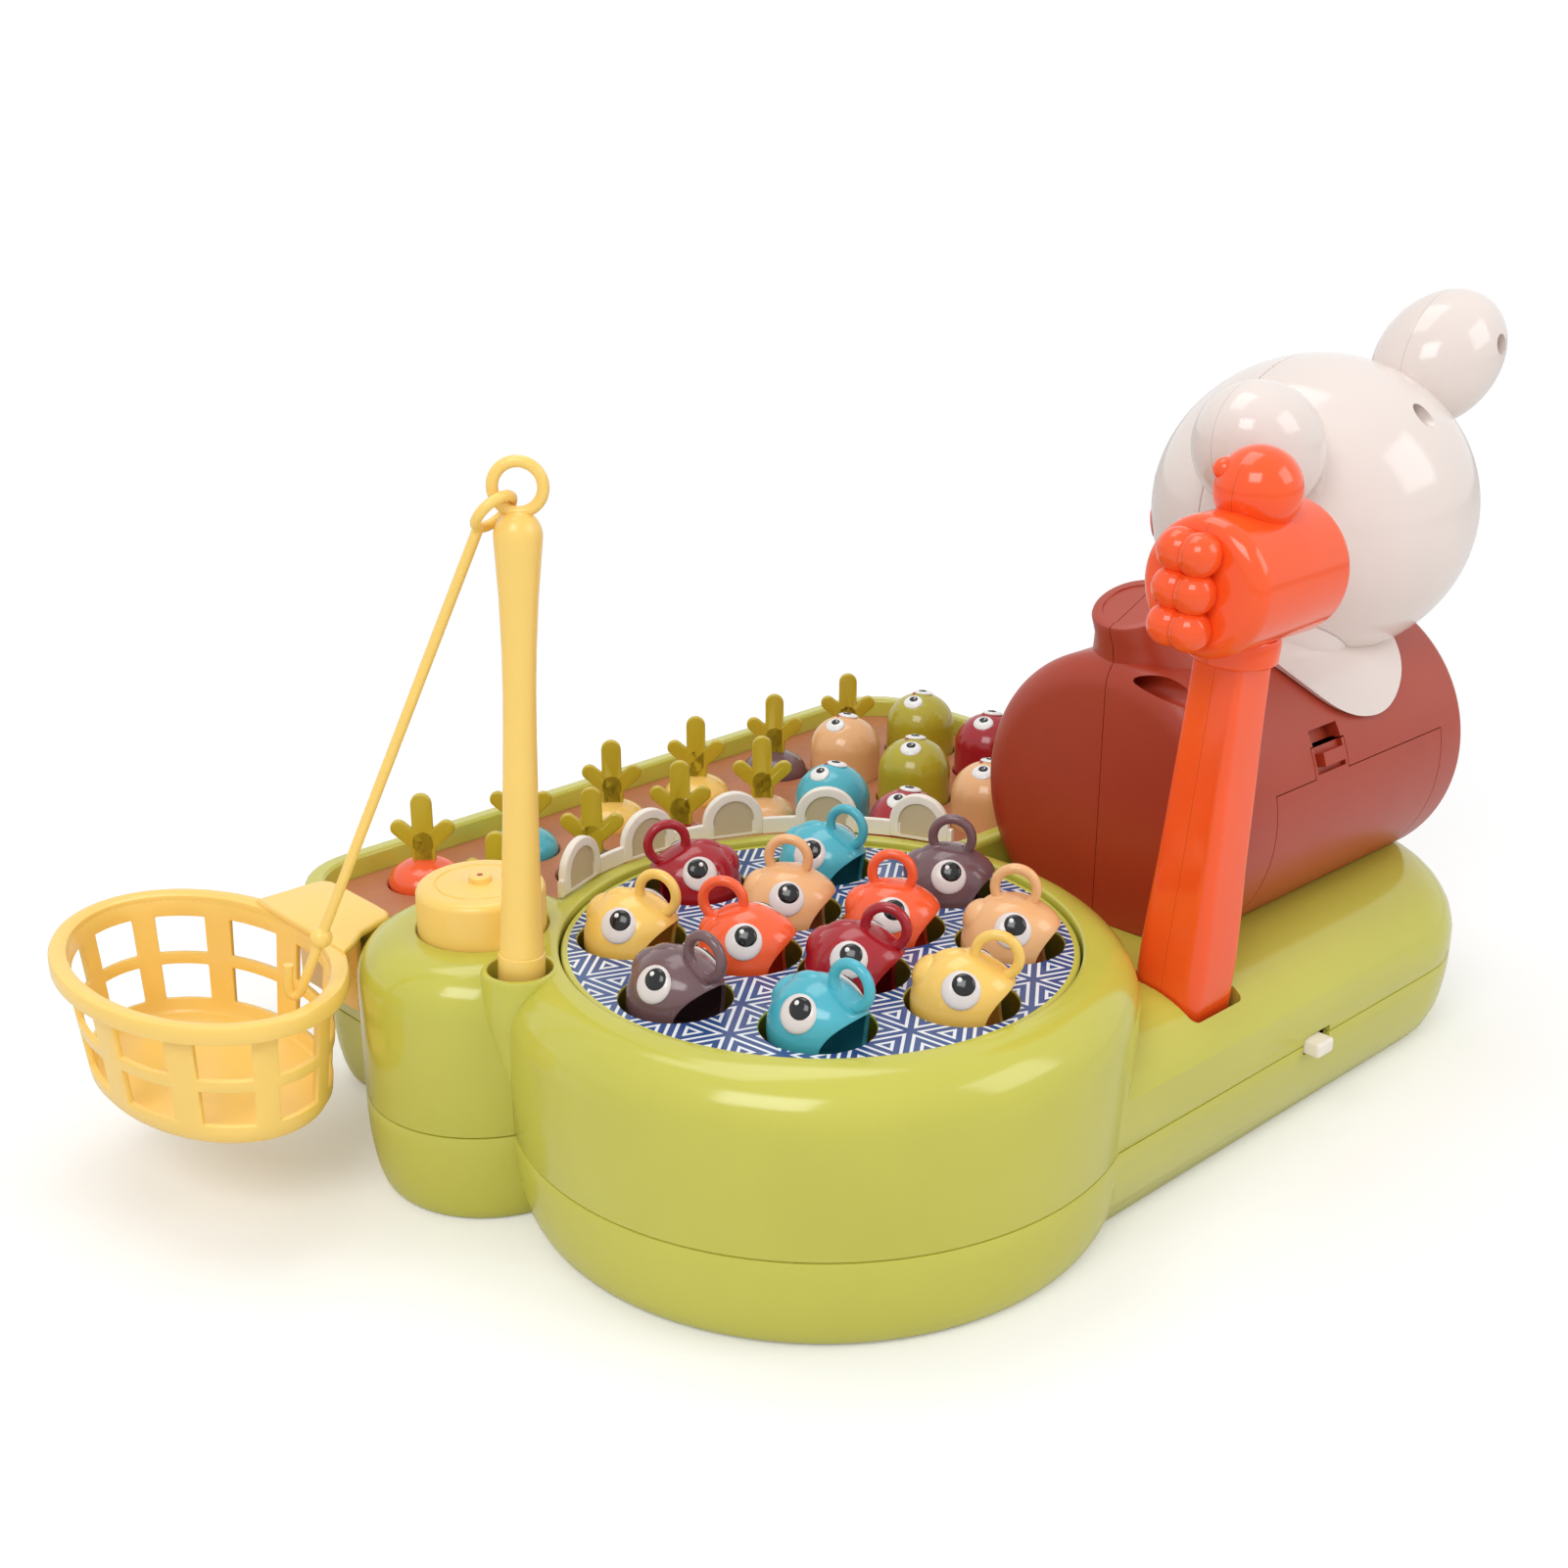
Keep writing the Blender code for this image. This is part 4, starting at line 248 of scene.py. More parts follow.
def wire(name, points, radius):
    """Round wire through points, with round ends."""
    curve = bpy.data.curves.new(name, "CURVE")
    curve.dimensions = "3D"
    curve.bevel_depth = radius * MM
    curve.bevel_resolution = 4
    curve.use_fill_caps = True
    spline = curve.splines.new("NURBS")
    spline.points.add(len(points) - 1)
    for target, point in zip(spline.points, points):
        target.co = (*(Vector(point) * MM), 1)
    spline.order_u = 3
    spline.use_endpoint_u = True
    spline.resolution_u = 8
    source = linked(bpy.data.objects.new(name, curve))
    graph = bpy.context.evaluated_depsgraph_get()
    bm = bmesh.new()
    bm.from_mesh(bpy.data.meshes.new_from_object(source.evaluated_get(graph)))
    bpy.data.objects.remove(source)
    bmesh.ops.scale(bm, vec=(1 / MM, 1 / MM, 1 / MM), verts=bm.verts)
    return shape(name, bm)


def turn_x(degrees):
    return Matrix.Rotation(math.radians(degrees), 4, "X")


def turn_y(degrees):
    return Matrix.Rotation(math.radians(degrees), 4, "Y")


def turn_z(degrees):
    return Matrix.Rotation(math.radians(degrees), 4, "Z")


def move(x=0.0, y=0.0, z=0.0):
    return Matrix.Translation((x, y, z))


# Finishes

class Value:
    """Output of a node; arithmetic on it adds nodes."""

    def __init__(self, paint, socket):
        self.paint = paint
        self.socket = socket

    def math(self, operation, *others):
        sockets = {0: self}
        sockets.update({i + 1: other for i, other in enumerate(others)})
        return self.paint.node("ShaderNodeMath", {"operation": operation}, sockets)

    def reflected(self, operation, other):
        return self.paint.node("ShaderNodeMath", {"operation": operation}, {0: other, 1: self})

    def __add__(self, other):
        return self.math("ADD", other)

    def __radd__(self, other):
        return self.math("ADD", other)

    def __sub__(self, other):
        return self.math("SUBTRACT", other)

    def __rsub__(self, other):
        return self.reflected("SUBTRACT", other)

    def __mul__(self, other):
        return self.math("MULTIPLY", other)

    def __rmul__(self, other):
        return self.math("MULTIPLY", other)

    def __truediv__(self, other):
        return self.math("DIVIDE", other)

    def __lt__(self, other):
        return self.math("LESS_THAN", other)

    def __gt__(self, other):
        return self.math("GREATER_THAN", other)

    def clamp(self, low, high):
        """0 below low, 1 above high, smooth between."""
        sockets = {0: self, 1: low, 2: high, 3: 0.0, 4: 1.0}
        return self.paint.node("ShaderNodeMapRange", {"interpolation_type": "SMOOTHSTEP"}, sockets)


class Paint:
    """Material, or another owner of nodes, whose nodes are added one call at a time."""

    def __init__(self, name, owner=None):
        self.material = owner or bpy.data.materials.new(name)
        self.material.use_nodes = True
        self.tree = self.material.node_tree
        self.tree.nodes.clear()
        self.place = self.node("ShaderNodeTexCoord", out="Object")

    def node(self, kind, settings=None, sockets=None, out=0):
        node = self.tree.nodes.new(kind)
        for key, value in (settings or {}).items():
            setattr(node, key, value)
        for key, value in (sockets or {}).items():
            if isinstance(value, Value):
                self.tree.links.new(value.socket, node.inputs[key])
            else:
                node.inputs[key].default_value = value
        return Value(self, node.outputs[out]) if node.outputs else None

    def axes(self):
        parts = self.node("ShaderNodeSeparateXYZ", None, {0: self.place})
        return [Value(self, parts.socket.node.outputs[i]) for i in range(3)]

    def noise(self, scale, detail=2.0, rough=0.5):
        """Noise with a scale in bumps per metre."""
        sockets = {"Vector": self.place, "Scale": scale, "Detail": detail, "Roughness": rough}
        return self.node("ShaderNodeTexNoise", None, sockets)

    def mix(self, factor, first, second):
        return self.node(
            "ShaderNodeMix", {"data_type": "RGBA"}, {0: factor, 6: as_colour(first), 7: as_colour(second)}, 2,
        )

    def bump(self, height, distance, below=None):
        sockets = {"Height": height, "Distance": distance, "Strength": 1.0}
        if below:
            sockets["Normal"] = below
        return self.node("ShaderNodeBump", None, sockets)

    def surface(self, colour, roughness, normal, **plain):
        sockets = {"Base Color": as_colour(colour), "Roughness": roughness, "Normal": normal}
        sockets.update({key.replace("_", " "): value for key, value in plain.items()})
        shader = self.node("ShaderNodeBsdfPrincipled", None, sockets)
        self.node("ShaderNodeOutputMaterial", None, {"Surface": shader})
        return self.material


def linear(red, green, blue):
    """Linear colour from the usual 0 to 255 numbers."""
    parts = []
    for value in (red, green, blue):
        share = value / 255
        parts.append(share / 12.92 if share <= 0.04045 else ((share + 0.055) / 1.055) ** 2.4)
    return (*parts, 1.0)


def as_colour(value):
    return value if isinstance(value, Value) else (*value[:3], 1.0)


GLOSS_SPREAD = 0.05
SEAM_HALF = 0.00014


def moulded(name, colour, rough=0.3, shade=0.06, grain=0.000012, seam=None):
    """Moulded plastic with faint flow marks, a fine skin and, along a seam plane, a thin dark line."""
    paint = Paint(name)
    flow = paint.noise(14.0, 3.0, 0.55).clamp(0.3, 0.7)
    dark = [part * (1 - shade) for part in colour[:3]]
    tint = paint.mix(flow, colour, dark)
    gloss = paint.noise(60.0, 3.0, 0.6) * GLOSS_SPREAD + (rough - GLOSS_SPREAD / 2)
    waves = paint.bump(paint.noise(45.0, 1.0), 0.00006)
    skin = paint.bump(paint.noise(1400.0, 2.0), grain, waves)
    if seam:
        x, y, z = paint.axes()
        line = (x * seam[0] + y * seam[1] + z * seam[2] - seam[3]).math("ABSOLUTE") < SEAM_HALF
        tint = paint.mix(line * 0.5, tint, [part * 0.45 for part in colour[:3]])
    return paint.surface(tint, gloss, skin)


GREEN = linear(200, 196, 80)
YELLOW = linear(254, 213, 113)
HAMMER = linear(253, 90, 32)
BROWN = linear(172, 59, 33)
CREAM = linear(234, 221, 214)
IVORY = linear(244, 236, 222)
SOIL = linear(184, 116, 74)
LEAF = linear(200, 176, 44)
NAVY = linear(54, 84, 140)
TOY_COLOURS = {
    "sand": linear(249, 204, 104), "crimson": linear(168, 28, 40), "plum": linear(118, 88, 92),
    "teal": linear(78, 182, 200), "peach": linear(240, 184, 128), "orange": linear(252, 100, 54),
    "olive": linear(182, 170, 44),
}
DISC_TOP = 88.0
PRINT_RADIUS = 0.0824
PRINT_CELL = 0.0175
PRINT_PITCH = 0.0029


def print_finish():
    """Navy printed sheet with white nested triangles; green plastic at its edge, and in its pockets and down
    its side, below the top, a darker green that is painted shade.
    """
    paint = Paint("pool_print")
    x, y, z = paint.axes()
    edges = []
    for degrees in (8, 128, 248):
        angle = math.radians(degrees)
        share = ((x * math.cos(angle) + y * math.sin(angle)) / PRINT_CELL + 40.0).math("FRACT")
        edges.append(share.math("MINIMUM", 1.0 - share) * PRINT_CELL)
    nearest = edges[0].math("MINIMUM", edges[1]).math("MINIMUM", edges[2])
    line = (nearest / PRINT_PITCH).math("FRACT")
    white = 1.0 - (line - 0.5).math("ABSOLUTE").clamp(0.155, 0.195)
    radius = (x * x + y * y).math("SQRT")
    sheet = (z > (DISC_TOP - 0.05) * MM) * (radius < PRINT_RADIUS)
    patch = paint.noise(30.0, 2.0).clamp(0.3, 0.7)
    ink = paint.mix(patch, NAVY, linear(48, 76, 130))
    drawn = paint.mix(white, ink, linear(232, 236, 240))
    # painted shade: below the disc's top, in the pockets and down the side, the green turns dark olive
    deep = paint.mix(z < (DISC_TOP - 1.0) * MM, GREEN, linear(128, 118, 44))
    tint = paint.mix(sheet, deep, drawn)
    gloss = paint.noise(50.0, 2.0) * 0.08 + 0.22
    return paint.surface(tint, gloss, paint.bump(paint.noise(1400.0), 0.000012))


def soil_finish():
    """Matt brown plastic with a sandy skin."""
    paint = Paint("soil_skin")
    patches = paint.noise(25.0, 4.0, 0.6).clamp(0.3, 0.7)
    tint = paint.mix(patches, SOIL, linear(176, 108, 70))
    grain = paint.bump(paint.noise(900.0, 4.0, 0.7), 0.00012, paint.bump(paint.noise(60.0, 2.0), 0.0002))
    return paint.surface(tint, paint.noise(200.0, 3.0) * 0.15 + 0.42, grain)


def board_finish():
    """Green circuit board with copper lines and speckle."""
    paint = Paint("board_lines")
    x, y, _z = paint.axes()
    across = ((x / 0.0032).math("FRACT") - 0.5).math("ABSOLUTE") < 0.06
    down = ((y / 0.0051).math("FRACT") - 0.5).math("ABSOLUTE") < 0.05
    lines = across.math("MAXIMUM", down)
    base = paint.mix(paint.noise(80.0).clamp(0.3, 0.7), linear(28, 98, 52), linear(22, 82, 44))
    tint = paint.mix(lines * 0.6, base, linear(60, 140, 84))
    return paint.surface(tint, paint.noise(120.0) * 0.1 + 0.4, paint.bump(lines, 0.00003))


def metal_finish(name, colour, rough):
    """Drawn metal with fine lines round it."""
    paint = Paint(name)
    streaks = paint.noise(500.0, 3.0, 0.6)
    tint = paint.mix(streaks.clamp(0.3, 0.7), colour, [part * 0.8 for part in colour[:3]])
    return paint.surface(tint, streaks * 0.2 + rough, paint.bump(streaks, 0.00002), Metallic=1.0)


def cell_finish():
    """Battery sleeve: dark body, bare metal at the nub end."""
    paint = Paint("cell_sleeve")
    x, _y, _z = paint.axes()
    end = x.clamp(0.2255, 0.2258).math("MAXIMUM", 1.0 - x.clamp(0.1785, 0.1788))
    band = x.clamp(0.212, 0.2121)
    wrap = paint.mix(band, linear(46, 52, 60), linear(196, 150, 62))
    tint = paint.mix(end, wrap, linear(205, 205, 200))
    gloss = paint.noise(70.0) * 0.15 + 0.25
    return paint.surface(tint, gloss, paint.bump(paint.noise(300.0), 0.00002), Metallic=end)


GREEN_SKIN = moulded("green_plastic", GREEN, 0.15)
YELLOW_SKIN = moulded("yellow_plastic", YELLOW, 0.26)
HAMMER_SEAM = (0.0, 0.99719, 0.07498, -0.06660)
HAMMER_SKIN = moulded("orange_plastic", HAMMER, 0.13, seam=HAMMER_SEAM)
BROWN_SKIN = moulded("brown_plastic", BROWN, 0.36, grain=0.00002)
CREAM_SKIN = moulded("cream_plastic", CREAM, 0.13, 0.03)
IVORY_SKIN = moulded("ivory_plastic", IVORY, 0.26, 0.04)
GREY_SKIN = moulded("grey_plastic", linear(96, 98, 102), 0.5)
LEAF_SKIN = moulded("leaf_plastic", LEAF, 0.30)
# white for the moles' eye whites and for the painted highlight dots on the fish's and moles' pupils
EYE_WHITE_AND_GLINT_SKIN = moulded("eye_white_and_glint", linear(240, 240, 238), 0.2, 0.02)
RING_SKIN = moulded("eye_ring", linear(226, 217, 214), 0.2, 0.02)
NOSE_SKIN = moulded("nose_red", linear(168, 66, 52), 0.3)
PUPIL_SKIN = moulded("eye_black", linear(18, 18, 20), 0.12)
CHEEK_SKIN = moulded("cheek_pink", linear(232, 120, 120), 0.4)
TOY_SKINS = {label: moulded(f"{label}_plastic", colour, 0.15) for label, colour in TOY_COLOURS.items()}


def finished(name, body, nodes, slot, *parts, smooth=42.0):
    """One piece from (object, material) parts; it rides on a body and stands for CAD nodes."""
    bm = bmesh.new()
    mesh = bpy.data.meshes.new(name)
    for number, (obj, material) in enumerate(parts):
        mesh.materials.append(material)
        first = len(bm.faces)
        bm.from_mesh(obj.data)
        bm.faces.ensure_lookup_table()
        for face in bm.faces[first:]:
            face.material_index = number
        bpy.data.objects.remove(obj)
    bm.to_mesh(mesh)
    bm.free()
    mesh.shade_smooth()
    mesh.set_sharp_from_angle(angle=math.radians(smooth))
    piece = linked(bpy.data.objects.new(name, mesh))
    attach(piece, body)
    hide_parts(*nodes)
    return piece


# Base

PARTING = 33.0
GAP = 0.3
LOWER_TOP = PARTING - GAP / 2
UPPER_FOOT = PARTING + GAP / 2
EDGE = 0.6
CLEAR = 0.3
POOL_R = 104.5
POOL_SIDE_R = 103.6
POOL_TOP = 90
LOBE_R = 42
LOBE_TOP = 89.8
LOBE = move(-75.7, 82.5)
SOCKET = move(-87.0, 46.0)
TRAY = ((-93, 33.5, 20), (233, 33.5, 20), (233, 201.5, 30), (-93, 190, 30))
ARM = ((-20, -96, 40), (287.5, -96, 55), (287.5, 46, 55), (-20, 46, 40))
HAMMER_AT = Matrix.Translation((104, -69.8, 40)) @ turn_x(4.3)


def edge_in(radius):
    """Small rounding at the parting line, as (inset, height above the line)."""
    return [(radius, 0.0), (radius * 0.3, radius * 0.3), (0.0, radius)]


def foot_levels(steps):
    """Inset share and height of a lower body's side, lowest first."""
    levels = []
    for step in range(steps):
        angle = math.radians(90 * (1 - step / steps))
        levels.append((1 - math.cos(angle), (PARTING - 1) * (1 - math.sin(angle))))
    return levels


def lower_round(name, foot_r, side_r, place):
    profile = [(0, 0)]
    profile += [(side_r - (side_r - foot_r) * share, z) for share, z in foot_levels(12)]
    profile += [(side_r - inset, LOWER_TOP - up) for inset, up in reversed(edge_in(EDGE))]
    return lathe(name, [*profile, (0, LOWER_TOP)], 96, place)


def lower_slab(name, corners, inset, extra):
    levels = [(inset + extra * share, z) for share, z in foot_levels(10)]
    levels += [(inset + more, LOWER_TOP - up) for more, up in reversed(edge_in(EDGE))]
    return slab(name, corners, levels)


def window():
    """Cutter of the switch's window, half in each shell."""
    return block("window", (144.7, -100, 29.2), (161.3, -92, 35.8), 0.8)


def lower_shell():
    """Lower half of the base with its posts and the turntable's bearing."""
    pan = lower_round("pan", 95, POOL_SIDE_R, Matrix())
    join(
        pan,
        lower_round("lobe", 36, LOBE_R, LOBE),
        lower_slab("tray", TRAY, 6, 8),
        lower_slab("arm", ARM, 0, 12),
    )
    room = lathe("room", [(0, 2.4), (92, 2.4), (100, 22), (101, 40), (0, 40)], 60)
    join(
        room,
        lathe("lobe_room", [(0, 2.4), (34, 2.4), (39.5, 24), (39.5, 40), (0, 40)], 40, LOBE),
        slab("tray_room", TRAY, [(17, 2.4), (8.6, 26), (8.6, 40)], 5),
        slab("arm_room", ARM, [(15, 2.4), (2.6, 26), (2.6, 40)], 5),
    )
    cut(pan, room, window())
    for x in (105.5, 199.5):
        for y in (60.2, 139.2):
            join(pan, cylinder("post", 3, 1.2, 49.6, 20, move(x, y)))
    join(pan, cylinder("bearing", 6, 1.2, 35.6, 24))
    return finished("base_lower", "base", ["base_lower_shell"], "green", (pan, GREEN_SKIN))


def upper_round(name, crown_r, shoulder, top, place, start_r):
    """Round tower of the upper shell with a rounded shoulder."""
    profile = [(0, UPPER_FOOT)] + [(start_r - inset, UPPER_FOOT + up) for inset, up in edge_in(EDGE)]
    profile += arc((crown_r - shoulder, top - shoulder), (shoulder, shoulder), 0, 90, 16) + [(0, top)]
    return lathe(name, profile, 128, place)


def flared_hole(radius, low, top, lip):
    """Cutter of a round hole whose upper edge is rounded outwards."""
    rim = arc((radius + lip, top - lip), (lip, lip), 180, 90, 6)
    return [(0, low), (radius, low), *rim, (radius + lip, top + 6), (0, top + 6)]


def arm_levels(inset, low, rounding):
    """Levels of the arm, whose four sides round off over different widths."""
    levels = []
    if rounding:
        levels += [(inset + more, low + up) for more, up in edge_in(rounding)]
    else:
        levels.append((inset, low))
    for step in range(15):
        angle = math.radians(90 * step / 14)
        shoulders = [inset + s * (1 - math.cos(angle)) for s in (34, 14, 14, 0)]
        levels.append((shoulders, 40 - inset + 25 * math.sin(angle)))
    return levels


def upper_shell():
    """Upper half of the base: tray, pool, button tower, rod socket and the arm with the hammer's pocket."""
    levels = [(6 + more, UPPER_FOOT + up) for more, up in edge_in(EDGE)]
    for degrees in (0, 18, 36, 54, 72, 90):
        angle = math.radians(degrees)
        levels.append((2.5 * (1 - math.cos(angle)), 77.5 + 2.5 * math.sin(angle)))
    shell = slab("shell", TRAY, levels)
    rim = [(7.5, 68.7), (7.5, 78.6), (7.2, 79.3), (6.5, 79.9), (5.6, 84)]
    cut(shell, slab("recess", TRAY, rim), slab("way", TRAY, [(10.1, 28), (10.1, 68.7)]))
    spout = [
        (0, 42), (2, 42), (4, 43), (6, 46), (12.5, 75), (12.5, 89), (11.9, 90.0), (11.2, 90.2), (0, 90.2),
    ]
    join(
        shell,
        upper_round("pool", POOL_R, 18, POOL_TOP, Matrix(), POOL_SIDE_R),
        upper_round("lobe", LOBE_R, 16, LOBE_TOP, LOBE, LOBE_R),
        slab("arm", ARM, arm_levels(0, UPPER_FOOT, EDGE)),
    )
    room = lathe("room", [(0, 28), (101.2, 28), (102, 70), (96, 82), (88, 87.6), (0, 87.6)], 60)
    join(
        room,
        lathe("lobe_room", [(0, 28), (39.6, 28), (39.6, 72), (34, 83), (26, 87.4), (0, 87.4)], 40, LOBE),
        slab("arm_room", ARM, arm_levels(2.4, 28, 0)[:1] + arm_levels(2.4, 28, 0)[1::2], 5),
        slab("tray_room", TRAY, [(8.4, 28), (4.8, 66.3)], 5),
    )
    cut(shell, room)
    join(shell, lathe("spout", spout, 40, SOCKET))
    join(shell, cylinder("well", 87.7, 58.6, 88.8, 96))
    pocket_walls = [(-16.1, -17.4), (16.1, -17.4), (16.1, 16.1), (-16.1, 16.1)]
    walls = plate("pocket_walls", pocket_walls, -1.8, 20.2, 0, HAMMER_AT)
    join(shell, combined(walls, slab("arm_skin", ARM, arm_levels(0.4, 30, 0)), "INTERSECT"))
    pocket = [(-14.3, -15.6, 3), (14.3, -15.6, 3), (14.3, 14.3, 3), (-14.3, 14.3, 3)]
    cut(
        shell,
        lathe("well_room", flared_hole(85.3, 61, POOL_TOP, 1.2), 128),
        cylinder("spindle_way", 8.3, 50, 70, 32),
        lathe("button_way", flared_hole(21.8, 60, LOBE_TOP, 0.8), 64, LOBE),
        lathe("socket_way", flared_hole(10.3, 75.5, 90.3, 0.7), 40, SOCKET),
        slab("pocket_way", pocket, [(0, -0.3), (0, 60)], 4, HAMMER_AT),
        window(),
    )
    return finished("base_upper", "base", ["base_upper_shell"], "green", (shell, GREEN_SKIN), smooth=36)


# Name, colour, place and turn in degrees
MOLES = (
    ("mole_back_middle", "peach", 152, 140.2, 0), ("mole_back_right", "olive", 199.5, 140.2, 6),
    ("mole_left", "teal", 104.5, 99.7, -10), ("mole_middle", "olive", 152, 99.7, 22),
    ("mole_right", "crimson", 199.5, 99.7, 8), ("mole_front_left", "crimson", 104.5, 59.2, 4),
    ("mole_front_middle", "peach", 152, 59.2, 12), ("mole_front_right", "teal", 199.5, 59.2, 0),
)
# Name, colour, place and how much deeper it sits
CARROTS = tuple(
    (f"carrot_back_{i + 1}", label, -46 + 44.5 * i, 163, 0)
    for i, label in enumerate(("orange", "teal", "sand", "sand", "plum", "crimson"))
) + tuple(
    (f"carrot_front_{i + 1}", label, -39.5 + 43.2 * i, 125.5, 6 if i == 0 else 0)
    for i, label in enumerate(("teal", "plum", "crimson", "peach"))
)


def soil_plate():
    """Soil plate with a way for each mole and a cup for each carrot."""
    soil = slab("soil", TRAY, [(7.8, 69), (7.8, 72)])
    cut(
        soil,
        cylinder("pool_edge", POOL_R + CLEAR, 60, 80, 96),
        cylinder("lobe_edge", LOBE_R + CLEAR, 60, 80, 64, LOBE),
    )
    for _name, _label, x, y, sunk in CARROTS:
        foot, bend = 50.5 - sunk, 67.8 - sunk
        cup = [(0, foot), (4.8, foot), (15.2, bend), (15.2, 70.5), (0, 70.5)]
        join(soil, lathe("cup", cup, 26, move(x, y)))
        room = [(0, foot + 1.2), (3.9, foot + 1.2), (14, bend), (14, 71.4), (14.8, 72.2), (14.8, 76), (0, 76)]
        cut(soil, lathe("cup_room", room, 32, move(x, y)))
    for _name, _label, x, y, _turn in MOLES:
        way = [(0, 60), (15.3, 60), (15.3, 71.4), (16.0, 72.1), (16.0, 76), (0, 76)]
        cut(soil, lathe("way", way, 40, move(x, y)))
    return finished("soil", "base", ["soil_bed"], "soil", (soil, soil_finish()), smooth=36)


def fence_rail():
    """Curved rail with round-topped pickets, each a frame round a sunk panel."""
    bm = bmesh.new()
    section = [(92.6, 89.5), (94.5, 89.5), (94.5, 95.1), (94.1, 95.5), (93.0, 95.5), (92.6, 95.1)]
    start = math.radians(14.5)
    edges = loop_of(bm, [(r * math.cos(start), r * math.sin(start), z) for r, z in section])
    around = {"cent": (0, 0, 0), "axis": (0, 0, 1), "angle": math.radians(103)}
    bmesh.ops.spin(bm, geom=bm.verts[:] + edges, **around, steps=60)
    bmesh.ops.holes_fill(bm, edges=bm.edges[:], sides=0)
    rail = shape("rail", bm)
    parts = [(rail, IVORY_SKIN)]
    panel_skin = moulded("fence_panel", linear(204, 186, 152), 0.45)
    for picket in range(5):
        stand = turn_z(22.5 + 21.75 * picket - 90) @ move(0, 93, 0) @ turn_x(90)
        outline = [(-11.5, 89.5), (11.5, 89.5), *arc((0, 95.5), (11.5, 11.5), 0, 180, 24)]
        body = plate("picket", outline, -1.5, 1.5, 0.7, stand)
        inner = [(-8.0, 90.6), (8.0, 90.6), *arc((0, 95.6), (8.0, 8.2), 0, 180, 20)]
        for side in (-1, 1):
            low, high = sorted((side * 0.6, side * 3))
            cut(body, plate("sunk", inner, low, high, 0, stand))
        parts.append((body, IVORY_SKIN))
        parts.append((plate("panel", inner, -0.7, 0.7, 0, stand), panel_skin))
    return finished("fence_piece", "base", ["fence"], "ivory", *parts)


# Pool

# Name, colour, orbit, place and heading in degrees, reach and height of the loop
FISH = (
    ("fish_plum_right", "plum", 62, 0, -58, 1.2, 19.0),
    ("fish_teal_back", "teal", 62, 45, -78, 10.4, 17.4),
    ("fish_crimson_back", "crimson", 62, 90, 157, 10.4, 17.4),
    ("fish_sand_left", "sand", 62, 135, -70, 10.4, 17.4),
    ("fish_plum_left", "plum", 62, 180, -85, 12.8, 17.4),
    ("fish_teal_front", "teal", 62, -135, -85, 12.8, 17.4),
    ("fish_sand_front", "sand", 62, -90, -62, 10.4, 16.6),
    ("fish_peach_right", "peach", 62, -45, -58, 1.2, 19.0),
    ("fish_orange_right", "orange", 26, -20, -58, 0, 19.0),
    ("fish_peach_back", "peach", 26, 70, -58, 0, 19.0),
    ("fish_orange_left", "orange", 26, 160, -58, -7.7, 17.4),
    ("fish_crimson_front", "crimson", 26, -110, -65, 10.4, 16.6),
)


def fish_place(orbit, place_deg, heading_deg):
    angle = math.radians(place_deg)
    return move(orbit * math.cos(angle), orbit * math.sin(angle), DISC_TOP) @ turn_z(heading_deg)


def turntable():
    """Turntable with round pockets, each with a softened edge."""
    profile = [(0, 36), (8, 36), (8, 61.4), (84.1, 61.4), (84.5, 61.8), (84.5, 87.5), (84.0, 88.0), (0, 88.0)]
    disc = lathe("disc", profile, 128)
    for name, _label, orbit, place_deg, heading_deg, _out, _up in FISH:
        hole = [(0, -14.3), (17.8, -14.3), (17.8, -0.4), (18.1, 0.05), (18.1, 4), (0, 4)]
        cut(disc, lathe(name, hole, 48, fish_place(orbit, place_deg, heading_deg)))
    parts = [(disc, print_finish())]
    return finished("pool_turntable", "turntable", ["pool_disc"], "print_blue", *parts, smooth=30)


FISH_LOW = -1.1
FISH_RADII = (16.1, 14.7, 17.6)


def mouth(point):
    """How far forward the fish's mouth cuts at a height and side."""
    return 7.8 + 10.5 * ((point.z + 3) / 12.4) ** 2 + 2.2 * (point.y / 12) ** 2


